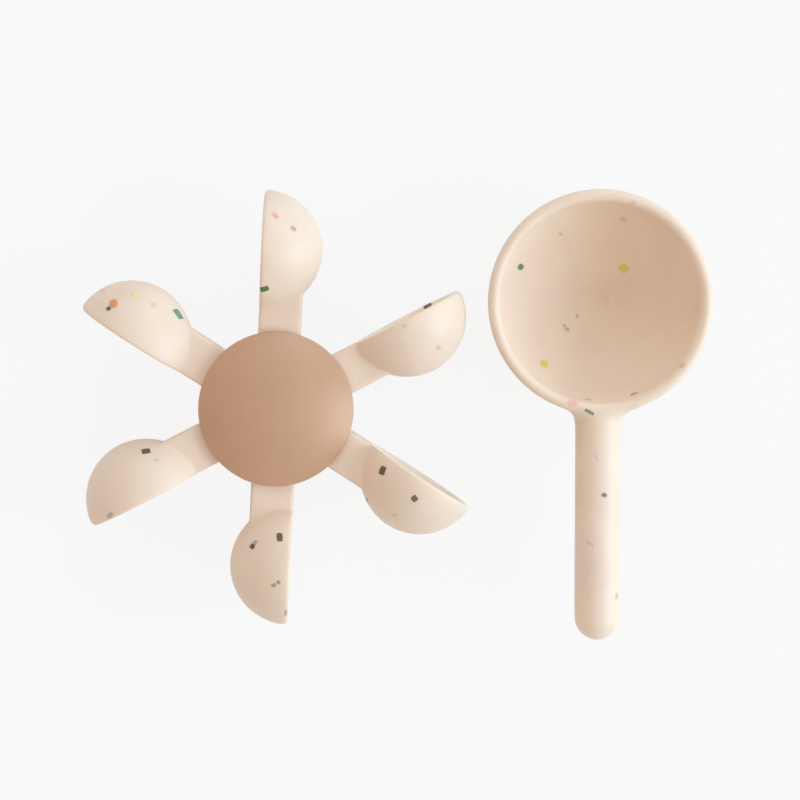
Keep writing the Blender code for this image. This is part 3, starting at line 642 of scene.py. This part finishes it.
def arm_stations(radius, z):
    """Places along the arm at height z, from the hub to the bowl's round."""
    start = ARM_START + SCOOP_EDGE
    end = BOWL_CENTRE - section_radius(radius, z)
    soft = end - SCOOP_FILLET
    between = [start + (soft - start) * k / RUN_STEPS for k in range(RUN_STEPS + 1)]
    return [ARM_START, *between, end]


def round_angles(radius, height):
    """Angles along the bowl's free round, from one of the fillets at the arm to the other."""
    soft = math.pi - math.asin(height / radius) - SCOOP_FILLET / radius
    return [soft - 2 * soft * k / ROUND_STEPS for k in range(ROUND_STEPS + 1)]


def keyhole(depth, radius, height, inward=0.0, downward=0.0):
    """The scoop's outline at a depth under its open face, seen along Y.

    It is the bowl's round, open where the arm joins it, and the arm's two straight sides. At the tip
    it is drawn inward, or lies deeper on the bowl's round.
    """
    y = FACE_Y - depth
    stations = arm_stations(radius, height)
    upper = [Vector((x, y, height)) for x in stations]
    lower = [Vector((x, y, -height)) for x in reversed(stations)]
    middle = []
    for angle in round_angles(radius, height):
        share = max(0.0, math.cos(angle)) ** TIP_ROUNDING_POWER
        deeper = downward * share
        wide = radius - inward * share
        if deeper > 0.0:
            wide = section_radius(BOWL_RADIUS, depth + deeper)
        x = BOWL_CENTRE + wide * math.cos(angle)
        middle.append(Vector((x, y - deeper, wide * math.sin(angle))))
    return upper + middle + lower


def arm_face(depth, radius):
    """Rows of the arm's front or back face, from its upper to its lower edge."""
    heights = [ARM_FACE_TOP * (1 - 2 * k / (ARM_ROWS - 1)) for k in range(ARM_ROWS)]
    return [[Vector((x, FACE_Y - depth, z)) for x in arm_stations(radius, z)] for z in heights]


def full_ring(row, face):
    """The bowl's closed round at a depth: the free part of the keyhole and the part on the arm."""
    last = ARM_STATIONS - 1
    return row[last:len(row) - last] + [line[-1] for line in reversed(face)][1:-1]


def shrunk(ring, scale, depth):
    """The ring drawn in towards the bowl's middle, at another depth."""
    made = []
    for point in ring:
        x = BOWL_CENTRE + (point.x - BOWL_CENTRE) * scale
        made.append(Vector((x, FACE_Y - depth, point.z * scale)))
    return made


def add_bowl(bm, edge, edge_radius, ball_radius, tilt, steps):
    """A bowl's skin: the rings at its edge, then rings over a ball from a tilt on, and its bottom."""
    rings = list(edge)
    for k in range(steps + 1):
        angle = tilt + (BOTTOM_TILT - tilt) * k / steps
        scale = ball_radius * math.cos(angle) / edge_radius
        rings.append(shrunk(edge[0], scale, ball_radius * math.sin(angle)))
    grid(bm, [loop(ring) for ring in rings])
    fan(bm, rings[-1], (BOWL_CENTRE, FACE_Y - ball_radius, 0.0))


def add_root(bm, rows, front, back):
    """The neck through the drum's wall and the tee head behind it."""
    section = [row[0] for row in rows] + [line[0] for line in back[1:-1]]
    section += [row[-1] for row in reversed(rows)] + [line[0] for line in reversed(front[1:-1])]
    arm = (1.0, 1.0)
    neck = (NECK_WIDTH / ARM_WIDTH, NECK_HEIGHT / ARM_HEIGHT)
    tee = (TEE_WIDTH / ARM_WIDTH, NECK_HEIGHT / ARM_HEIGHT)
    tee_face = (tee[0] * TEE_FACE_SHARE, tee[1] * TEE_FACE_SHARE)
    stages = [
        (ARM_START, arm),
        (ARM_START, neck),
        (ARM_START - SCOOP_EDGE, neck),
        (TEE_OUTER + SCOOP_EDGE, neck),
        (TEE_OUTER, neck),
        (TEE_OUTER, tee),
        (TEE_OUTER - SCOOP_EDGE, tee),
        (TEE_INNER + SCOOP_EDGE, tee),
        (TEE_INNER, tee),
        (TEE_INNER, tee_face),
    ]
    rings = []
    for x, (wide, high) in stages:
        rings.append([Vector((x, point.y * wide, point.z * high)) for point in section])
    grid(bm, [loop(ring) for ring in rings])
    fan(bm, rings[-1], (TEE_INNER, 0.0, 0.0))


def paint_lip_light(bm):
    """Say how far painted light covers the bowl's inside, fading from its edge: a paler colour that
    stands in for light coming through the thin lip.
    """
    cover = bm.verts.layers.float.new(COVER)
    middle = Vector((BOWL_CENTRE, FACE_Y, 0.0))
    for vertex in bm.verts:
        if (vertex.co - middle).length < BOWL_INSIDE + LIP_INSIDE + MERGE:
            vertex[cover] = max(0.0, 1.0 - (FACE_Y - vertex.co.y) / PAINTED_LIGHT_FADE)


def scoop_mesh():
    bm = bmesh.new()
    rim_radius = BOWL_RADIUS - SCOOP_EDGE
    back_radius = section_radius(BOWL_RADIUS, ARM_WIDTH)

    # Outside of the bowl and sides of the arm, from the open face to the arm's back
    rows = [keyhole(0.0, rim_radius, ARM_FACE_TOP, inward=TIP_ROUNDING)]
    for k in range(SIDE_STEPS + 1):
        depth = SCOOP_EDGE + (ARM_WIDTH - 2 * SCOOP_EDGE) * k / SIDE_STEPS
        downward = TIP_ROUNDING if k == 0 else 0.0
        rows.append(keyhole(depth, section_radius(BOWL_RADIUS, depth), ARM_TOP, downward=downward))
    rows.append(keyhole(ARM_WIDTH, back_radius, ARM_FACE_TOP))
    grid(bm, rows)

    # Back of the arm and the bottom of the bowl behind it
    back = arm_face(ARM_WIDTH, back_radius)
    grid(bm, back)
    back_tilt = math.asin(ARM_WIDTH / BOWL_RADIUS) + SCOOP_FILLET / BOWL_RADIUS
    add_bowl(bm, [full_ring(rows[-1], back)], back_radius, BOWL_RADIUS, back_tilt, DOME_STEPS)

    # Open face, rim and the inside of the bowl
    front = arm_face(0.0, rim_radius)
    grid(bm, front)
    rim = full_ring(rows[0], front)
    lip = shrunk(rim, (BOWL_INSIDE + LIP_INSIDE) / rim_radius, 0.0)
    add_bowl(bm, [rim, lip], rim_radius, BOWL_INSIDE, LIP_INSIDE / BOWL_INSIDE, INSIDE_STEPS)

    add_root(bm, rows, front, back)
    # Painted light: a paler colour on the inside near the lip
    paint_lip_light(bm)
    return subdivided(closed_mesh(bm, "scoop_moulded"))


def scoop_place(number):
    angle = FIRST_SCOOP_ANGLE - 2 * math.pi * (number - 1) / SCOOP_COUNT
    return Matrix.Translation(AXIS) @ Matrix.Rotation(angle, 4, "Z")


def add_scoops():
    mesh = scoop_mesh()
    made = {}
    for number in range(1, SCOOP_COUNT + 1):
        node = f"scoop_{number}"
        place = scoop_place(number)
        piece = add_piece(f"{node}_moulded", mesh, scoop_lip_light_finish, "wheel", "speckled_silicone", place)
        made[node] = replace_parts(piece, node)
    return made


# Hub cap

def dome(rim_radius, rim_height, rise, steps):
    """Points of a shallow dome from its rim to the axle, with no rounding."""
    radius = (rim_radius**2 + rise**2) / (2 * rise)
    tilt = math.asin(rim_radius / radius)
    made = []
    for k in range(steps + 1):
        angle = tilt * (1 - k / steps)
        height = rim_height + rise - radius + radius * math.cos(angle)
        made.append((radius * math.sin(angle), height, 0.0))
    return made


def add_hub_cap():
    low = CAP_LOW.z
    side_top = low + CAP_SIDE
    bead_top = low + CAP_BEAD
    ceiling = CAP_HIGH.z - CAP_SHELL
    inside = dome(CAP_SEAT_INNER, CAP_SEAT_Z, ceiling - CAP_SEAT_Z, ARC_STEPS)[::-1]
    skirt = [
        (CAP_BORE, CAP_SEAT_Z, CAP_SEAT_ROUNDING),
        (CAP_BORE, bead_top, CAP_GROOVE_ROUNDING),
        (CAP_BEAD_RADIUS, bead_top, CAP_BEAD_ROUNDING),
        (CAP_BEAD_RADIUS, low, CAP_BEAD_ROUNDING),
        (CAP_RADIUS - CAP_DRAFT, low, CAP_FOOT_ROUNDING),
        (CAP_RADIUS, side_top, CAP_EDGE_ROUNDING),
    ]
    # The rounded edge takes the place of the crown's first points
    crown = dome(CAP_RADIUS, side_top, CAP_HIGH.z - side_top, CROWN_STEPS)[CROWN_EDGE_STEPS:]
    cap = lathe(rounded(inside + skirt + crown), "hub_cap_moulded")
    place = Matrix.Translation((AXIS.x, AXIS.y, 0.0))
    piece = add_piece("hub_cap_moulded", cap, blush_finish, "wheel", "blush_silicone", place)
    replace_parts(piece, "hub_cap")


# Suction cup

def pull_tab(cup):
    """Draw the cup's lip out to a rounded tab on one side."""
    lip = SUCTION_RADIUS - SUCTION_LIP
    half = TAB_WIDTH / 2
    for vertex in cup.vertices:
        radius = math.hypot(vertex.co.x, vertex.co.y)
        angle = math.atan2(vertex.co.y, vertex.co.x)
        across = radius * math.sin(angle - TAB_ANGLE)
        ahead = math.cos(angle - TAB_ANGLE) > 0
        on_edge = (radius - lip) / SUCTION_LIP
        if ahead and abs(across) < half and on_edge > 0:
            pull = TAB_LENGTH * math.sqrt(1 - (across / half) ** 2) * min(1.0, on_edge)
            vertex.co.x += pull * math.cos(TAB_ANGLE)
            vertex.co.y += pull * math.sin(TAB_ANGLE)


def add_suction_cup():
    lip = SUCTION_RADIUS - SUCTION_LIP
    run = SUCTION_RADIUS - SUCTION_NECK
    climb = SUCTION_SHOULDER - SUCTION_LIP_HEIGHT
    shares = [k / FLARE_STEPS for k in range(FLARE_STEPS + 1)]
    hollow = [(lip * share, SUCTION_HOLLOW * (1 - share**2), 0.0) for share in shares]
    edge = [(SUCTION_RADIUS, 0.0, SUCTION_ROUNDING)]
    flare = []
    for share in shares:
        flare.append((SUCTION_RADIUS - run * share, SUCTION_LIP_HEIGHT + climb * share**2, 0.0))
    neck = [
        (SUCTION_NECK, SUCTION_HEIGHT, SUCTION_NECK_ROUNDING),
        (SUCTION_POCKET, SUCTION_HEIGHT, SUCTION_ROUNDING),
        (SUCTION_POCKET, SUCTION_POCKET_Z, SUCTION_ROUNDING),
        (0.0, SUCTION_POCKET_Z, 0.0),
    ]
    cup = lathe(rounded(hollow + edge + flare + neck), "suction_cup_moulded")
    pull_tab(cup)
    place = Matrix.Translation((AXIS.x, AXIS.y, 0.0))
    piece = add_piece("suction_cup_moulded", cup, blush_finish, "base", "blush_silicone", place)
    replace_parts(piece, "suction_cup")


# Ladle, with its handle along -Y

def bowl_side(radius, depth, power, share):
    """(radius, depth) on the side of a bowl, at a share of the way from the rim to the bottom."""
    angle = math.pi / 2 * share
    return radius * math.cos(angle) ** (2 / power), depth * math.sin(angle) ** (2 / power)


def ladle_profile():
    """(radius, height) rows of the bowl's skin, from its foot over the rim to its floor.

    The first row of the patch for the handle is given too.
    """
    lip = LADLE_WALL / 2
    rim_height = LADLE_HEIGHT - lip
    foot_ratio = LADLE_FOOT / LADLE_RADIUS
    fullness = 1 - foot_ratio**LADLE_OUTER_POWER
    outer_depth = rim_height / fullness ** (1 / LADLE_OUTER_POWER)
    foot_share = math.acos(foot_ratio ** (LADLE_OUTER_POWER / 2)) / (math.pi / 2)
    inner = LADLE_RADIUS - LADLE_WALL
    inner_depth = rim_height - LADLE_FLOOR
    profile = [
        (LADLE_MIDDLE_RING, 0.0),
        (LADLE_FOOT_RING, 0.0),
        (LADLE_FOOT - LADLE_FOOT_FLAT, 0.0),
        (LADLE_FOOT - LADLE_FOOT_EDGE, LADLE_FOOT_RISE),
    ]
    for share in LADLE_WALL_SHARES:
        radius, depth = bowl_side(LADLE_RADIUS, outer_depth, LADLE_OUTER_POWER, foot_share * share)
        profile.append((radius, rim_height - depth))
    patch_low = len(profile) - PATCH_WALL_ROWS
    lip_cage = cage(lip, LADLE_LIP_SIDES)
    for k in range(LADLE_LIP_SIDES // 2 + 1):
        angle = 2 * math.pi * k / LADLE_LIP_SIDES
        radius = LADLE_RADIUS - lip + lip_cage * math.cos(angle)
        profile.append((radius, rim_height + lip_cage * math.sin(angle)))
    for k in range(1, LADLE_INSIDE_STEPS):
        radius, depth = bowl_side(inner, inner_depth, LADLE_INNER_POWER, k / LADLE_INSIDE_STEPS)
        profile.append((radius, rim_height - depth))
    profile += [(LADLE_FLOOR_RING, LADLE_FLOOR), (LADLE_MIDDLE_RING, LADLE_FLOOR)]
    return profile, patch_low


def handle_ring(along, size, wider=0.0):
    """A ring round the handle, at a distance along it from the bowl's middle."""
    made = []
    for k in range(HANDLE_SIDES):
        angle = HANDLE_FIRST_ANGLE - 2 * math.pi * k / HANDLE_SIDES
        across = (size + wider) * math.cos(angle)
        made.append(Vector((across, -along, HANDLE_AXIS_Z + size * math.sin(angle))))
    return made


def handle_rings():
    """The rings of the handle from the bowl to its round end, and the tip that closes it."""
    size = cage(HANDLE_RADIUS, HANDLE_SIDES)
    flare_end = LADLE_RADIUS + HANDLE_FLARE_LENGTH
    ball = HANDLE_REACH - HANDLE_RADIUS
    made = []
    for share, widening in HANDLE_FLARE_RINGS:
        along = LADLE_RADIUS + HANDLE_FLARE_LENGTH * share
        made.append(handle_ring(along, size, HANDLE_FLARE * widening))
    for k in range(HANDLE_STEPS + 1):
        made.append(handle_ring(flare_end + (ball - flare_end) * k / HANDLE_STEPS, size))
    for k in range(1, HANDLE_END_STEPS):
        angle = math.pi / 2 * k / HANDLE_END_STEPS
        made.append(handle_ring(ball + size * math.sin(angle), size * math.cos(angle)))
    made.append(handle_ring(ball + size * HANDLE_TIP_ALONG, size * HANDLE_TIP_SIZE))
    return made, (0.0, -ball - size, HANDLE_AXIS_Z)


def ladle_mesh():
    """The bowl and the handle in one skin. The handle grows from a patch left open in the bowl."""
    bm = bmesh.new()
    profile, patch_low = ladle_profile()
    patch_high = patch_low + PATCH_ROWS

    def ring_point(row, column):
        radius = cage(profile[row][0], LADLE_STEPS)
        angle = 2 * math.pi * column / LADLE_STEPS - math.pi / 2
        return Vector((radius * math.cos(angle), radius * math.sin(angle), profile[row][1]))

    def add_skin(rows, columns):
        grid(bm, [[ring_point(row, column) for column in columns] for row in rows])

    add_skin(range(len(profile)), range(PATCH_COLUMNS, LADLE_STEPS - PATCH_COLUMNS + 1))
    for rows in (range(patch_low + 1), range(patch_high, len(profile))):
        add_skin(rows, range(-PATCH_COLUMNS, PATCH_COLUMNS + 1))
    for row in (0, len(profile) - 1):
        ring = [ring_point(row, column) for column in range(LADLE_STEPS)]
        fan(bm, ring, (0.0, 0.0, profile[row][1]))

    border = [ring_point(patch_high, column) for column in range(-PATCH_COLUMNS, PATCH_COLUMNS)]
    border += [ring_point(row, PATCH_COLUMNS) for row in range(patch_high, patch_low, -1)]
    border += [ring_point(patch_low, column) for column in range(PATCH_COLUMNS, -PATCH_COLUMNS, -1)]
    border += [ring_point(row, -PATCH_COLUMNS) for row in range(patch_low, patch_high)]
    rings, tip = handle_rings()
    grid(bm, [loop(ring) for ring in (border, *rings)])
    fan(bm, rings[-1], tip)
    return subdivided(closed_mesh(bm, "ladle_moulded"))


def add_ladle():
    place = Matrix.Translation(LADLE_CENTRE) @ Matrix.Rotation(LADLE_TURN, 4, "Z")
    mesh = ladle_mesh()
    piece = add_piece("ladle_moulded", mesh, ladle_finish, "base", "speckled_silicone", place)
    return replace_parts(piece, "ladle")


# Rigid pieces of the hub

def add_rigid_piece(node, body, slot, softening):
    """A rigid piece with the frame's shape, softened along its edges."""
    bm = bmesh.new()
    bm.from_mesh(frame["nodes"][node].data)
    bmesh.ops.remove_doubles(bm, verts=bm.verts, dist=MERGE)
    bmesh.ops.dissolve_limit(bm, angle_limit=FLAT_ANGLE, verts=bm.verts, edges=bm.edges)
    sharp = [edge for edge in bm.edges if edge.is_manifold and edge.calc_face_angle() > SMOOTH_ANGLE]
    bmesh.ops.bevel(
        bm,
        geom=sharp,
        offset=softening,
        offset_type="OFFSET",
        segments=BEVEL_SEGMENTS,
        profile=BEVEL_ROUND,
        affect="EDGES",
        clamp_overlap=True,
    )
    mesh = closed_mesh(bm, f"{node}_refined")
    mesh.set_sharp_from_angle(angle=SMOOTH_ANGLE)
    piece = add_piece(f"{node}_refined", mesh, rigid_finishes[slot], body, slot)
    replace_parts(piece, node)


# Chips in the speckled silicone

def sight_line(column, row):
    """From the camera through a pixel of the photograph."""
    across = (column - PHOTO_SIZE / 2) * PIXEL
    upward = (PHOTO_SIZE / 2 - row) * PIXEL
    return (CAMERA_RIGHT * across + CAMERA_UP * upward - CAMERA_BACK * CAMERA_REACH).normalized()


def chip_outline(size, turn, squareness, chance):
    """Points of an uneven outline round a chip's middle."""
    lean = chance.uniform(-CHIP_LEAN, CHIP_LEAN)
    made = []
    for k in range(CHIP_SIDES):
        angle = 2 * math.pi * k / CHIP_SIDES
        x, y = math.cos(angle), math.sin(angle)
        reach = (abs(x) ** squareness + abs(y) ** squareness) ** (-1 / squareness)
        reach *= chance.uniform(*CHIP_UNEVENNESS)
        wide = size[0] / 2 * reach * (x + lean * y)
        high = size[1] / 2 * reach * y
        across = wide * math.cos(turn) - high * math.sin(turn)
        upward = wide * math.sin(turn) + high * math.cos(turn)
        made.append((across, upward))
    return made


def add_chip(bm, landing, size, turn, colour, shape, chance):
    """A thin crumb, pressed into the surface that its points land on."""
    squareness, covers = CHIP_SHAPES[shape]
    outline = chip_outline(size, turn, squareness, chance)
    cover = bm.verts.layers.float[COVER]

    def made(x, y, lift, covering):
        spot, facing = landing(x, y)
        vertex = bm.verts.new(spot + facing * lift)
        vertex[cover] = covering
        return vertex

    middle = made(0.0, 0.0, CHIP_LIFT, covers[0])
    rings = []
    for share, covering in zip(CHIP_RINGS[1:], covers[1:]):
        lift = CHIP_LIFT if covering else -CHIP_LIFT
        rings.append([made(x * share, y * share, lift, covering) for x, y in outline])
    rings.append([made(x, y, -CHIP_SINK, covers[-1]) for x, y in outline])
    bottom = made(0.0, 0.0, -CHIP_SINK, covers[-1])
    faces = []
    for k in range(CHIP_SIDES):
        after = (k + 1) % CHIP_SIDES
        faces.append((middle, rings[0][k], rings[0][after]))
        faces.append((bottom, rings[-1][after], rings[-1][k]))
        for ring, outer in zip(rings, rings[1:]):
            faces.append((ring[k], outer[k], outer[after], ring[after]))
    for corners in faces:
        face = bm.faces.new(corners)
        face.material_index = CHIP_NAMES.index(colour)
        face.smooth = True


def add_seen_chips(bm, node, tree, to_piece, chance):
    """The chips that the photograph shows on a piece, slid along their sight lines to its surface."""
    turned = to_piece.to_3x3()
    eye = to_piece @ CAMERA_EYE
    to_right = turned @ CAMERA_RIGHT
    to_top = turned @ CAMERA_UP
    for column, row, wide, high, turn, colour, shape in SEEN_CHIPS[node]:
        ray = turned @ sight_line(column, row)
        middle, facing = tree.ray_cast(eye, ray)[:2]
        if middle is None:
            middle, facing = tree.find_nearest(eye + ray * CAMERA_REACH)[:2]
        slant = max(CHIP_SLANT, -ray.dot(facing))

        def landing(x, y):
            aside = to_right * x + to_top * y
            return tree.find_nearest(middle + aside + ray * (aside.dot(facing) / slant))[:2]

        size = (wide * PIXEL, high * PIXEL)
        add_chip(bm, landing, size, math.radians(turn), colour, shape, chance)


def add_hidden_chips(bm, node, tree, mesh, eye, count, chance):
    """A scatter on the sides that the photograph doesn't show, but not at a foot or a root."""
    faces = list(mesh.polygons)
    areas = [face.area for face in faces]
    held = []
    while len(held) < count:
        face = chance.choices(faces, areas)[0]
        spot = face.center.copy()
        seen = tree.ray_cast(eye, (spot - eye).normalized())[0]
        shown = (seen - spot).length < CHIP_HIDDEN
        at_foot = node == "ladle" and spot.z < CHIP_CLEAR
        at_root = node != "ladle" and spot.x < ARM_START + CHIP_CLEAR
        crowded = any((spot - other).length < CHIP_CLEAR for other in held)
        if shown or at_foot or at_root or crowded:
            continue
        held.append(spot)
        size = [chance.uniform(*HIDDEN_CHIP_SIZES) for _ in range(2)]
        first = face.normal.orthogonal().normalized()
        second = face.normal.cross(first)

        def landing(x, y):
            return tree.find_nearest(spot + first * x + second * y)[:2]

        colour = CHIP_NAMES[chance.randrange(len(CHIP_NAMES))]
        shape = chance.choice(list(CHIP_SHAPES))
        add_chip(bm, landing, size, chance.uniform(0, math.pi), colour, shape, chance)


def add_chips(node, carrier, hidden_count, body, chance):
    """All chips of a speckled piece, as one mesh that rides with it."""
    bm = bmesh.new()
    bm.verts.layers.float.new(COVER)
    mesh = carrier.data
    tree = BVHTree.FromPolygons([v.co for v in mesh.vertices], [p.vertices for p in mesh.polygons])
    place = carrier.matrix_world
    to_piece = place.inverted()
    add_seen_chips(bm, node, tree, to_piece, chance)
    add_hidden_chips(bm, node, tree, mesh, to_piece @ CAMERA_EYE, hidden_count, chance)
    bmesh.ops.recalc_face_normals(bm, faces=bm.faces)
    chips = bpy.data.meshes.new(f"{node}_chips")
    bm.to_mesh(chips)
    bm.free()
    for name in CHIP_NAMES:
        chips.materials.append(chip_finishes[name])
    add_piece(f"{node}_chips", chips, None, body, "speckled_silicone", place)


# Floor, light and camera

def maths(tree, operation, first, second):
    """The result of an operation on an output and on another output or a number."""
    made = tree.nodes.new("ShaderNodeMath")
    made.operation = operation
    tree.links.new(first, made.inputs[0])
    if isinstance(second, float):
        made.inputs[1].default_value = second
    else:
        tree.links.new(second, made.inputs[1])
    return made.outputs[0]


def add_floor():
    """A pale floor that mostly glows evenly where the camera sees it, so that it looks almost white."""
    mesh = bpy.data.meshes.new("floor")
    signs = ((-1, -1), (1, -1), (1, 1), (-1, 1))
    mesh.from_pydata([(x * FLOOR_REACH, y * FLOOR_REACH, 0.0) for x, y in signs], [], [(0, 1, 2, 3)])
    floor = bpy.data.objects.new("floor", mesh)
    bpy.context.scene.collection.objects.link(floor)
    made, tree, shader = shader_of("floor_finish")
    low, high = [(grey, grey, grey) for grey in FLOOR_GREYS]
    base = ramp(tree, noise(tree, *FLOOR_PATTERN), low, high)
    tree.links.new(base, shader.inputs["Base Color"])
    shader.inputs["Roughness"].default_value = FLOOR_ROUGHNESS
    shader.inputs["Specular IOR Level"].default_value = FLOOR_GLOSS
    glow = tree.nodes.new("ShaderNodeEmission")
    glow.inputs["Color"].default_value = (FLOOR_LEVEL, FLOOR_LEVEL, FLOOR_LEVEL, 1.0)
    rays = tree.nodes.new("ShaderNodeLightPath").outputs
    seen = maths(tree, "MAXIMUM", rays["Is Camera Ray"], rays["Is Glossy Ray"])
    seen = maths(tree, "MAXIMUM", seen, rays["Is Transmission Ray"])
    share = maths(tree, "MULTIPLY", seen, FLOOR_GLOW_SHARE)
    mix = tree.nodes.new("ShaderNodeMixShader")
    tree.links.new(share, mix.inputs["Fac"])
    tree.links.new(shader.outputs[0], mix.inputs[1])
    tree.links.new(glow.outputs[0], mix.inputs[2])
    tree.links.new(mix.outputs[0], tree.nodes["Material Output"].inputs["Surface"])
    mesh.materials.append(made)
    floor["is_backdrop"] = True


def add_lamp(name, azimuth, elevation, level):
    """A soft box that looks at the set.

    A small one with a level of 1 lights a facing white surface to white.
    """
    lamp = bpy.data.lights.new(name, "AREA")
    lamp.shape = "SQUARE"
    lamp.size = LAMP_SIZE
    lamp.color = COOL
    lamp.energy = level * (math.pi * LAMP_DISTANCE) ** 2
    turn = Matrix.Rotation(math.radians(azimuth), 3, "Z")
    tilt = Matrix.Rotation(-math.radians(elevation), 3, "Y")
    towards = turn @ tilt @ Vector((1.0, 0.0, 0.0))
    soft_box = bpy.data.objects.new(name, lamp)
    soft_box.location = towards * LAMP_DISTANCE
    soft_box.rotation_euler = towards.to_track_quat("Z", "Y").to_euler()
    bpy.context.scene.collection.objects.link(soft_box)


def add_light():
    world = bpy.data.worlds.new("studio")
    world.use_nodes = True
    sky = world.node_tree.nodes["Background"]
    sky.inputs["Color"].default_value = (*WARM, 1.0)
    sky.inputs["Strength"].default_value = AMBIENT
    bpy.context.scene.world = world
    for name, values in LAMPS.items():
        add_lamp(name, *values)


def add_camera():
    view = bpy.data.cameras.new("photograph")
    view.sensor_width = SENSOR
    view.lens = SENSOR * CAMERA_REACH / (PHOTO_SIZE * PIXEL)
    view.clip_start = CLIP_START
    view.clip_end = CLIP_END
    camera = bpy.data.objects.new("photograph", view)
    basis = Matrix((CAMERA_RIGHT, CAMERA_UP, CAMERA_BACK)).transposed()
    camera.matrix_world = Matrix.Translation(CAMERA_EYE) @ basis.to_4x4()
    bpy.context.scene.collection.objects.link(camera)
    bpy.context.scene.camera = camera


def main():
    scoops = add_scoops()
    add_hub_cap()
    add_suction_cup()
    ladle = add_ladle()
    for row in RIGID_PIECES:
        add_rigid_piece(*row)
    chance = random.Random(CHIP_SEED)
    bpy.context.view_layer.update()
    for node, piece in scoops.items():
        add_chips(node, piece, HIDDEN_CHIPS_PER_SCOOP, "wheel", chance)
    add_chips("ladle", ladle, HIDDEN_CHIPS_ON_LADLE, "base", chance)
    add_floor()
    add_light()
    add_camera()
    bpy.context.scene.view_settings.view_transform = "Standard"


main()
boxes = {"cad": cad_box, "visual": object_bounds()}
sizes = {name: [list(corner) for corner in box] for name, box in boxes.items()}
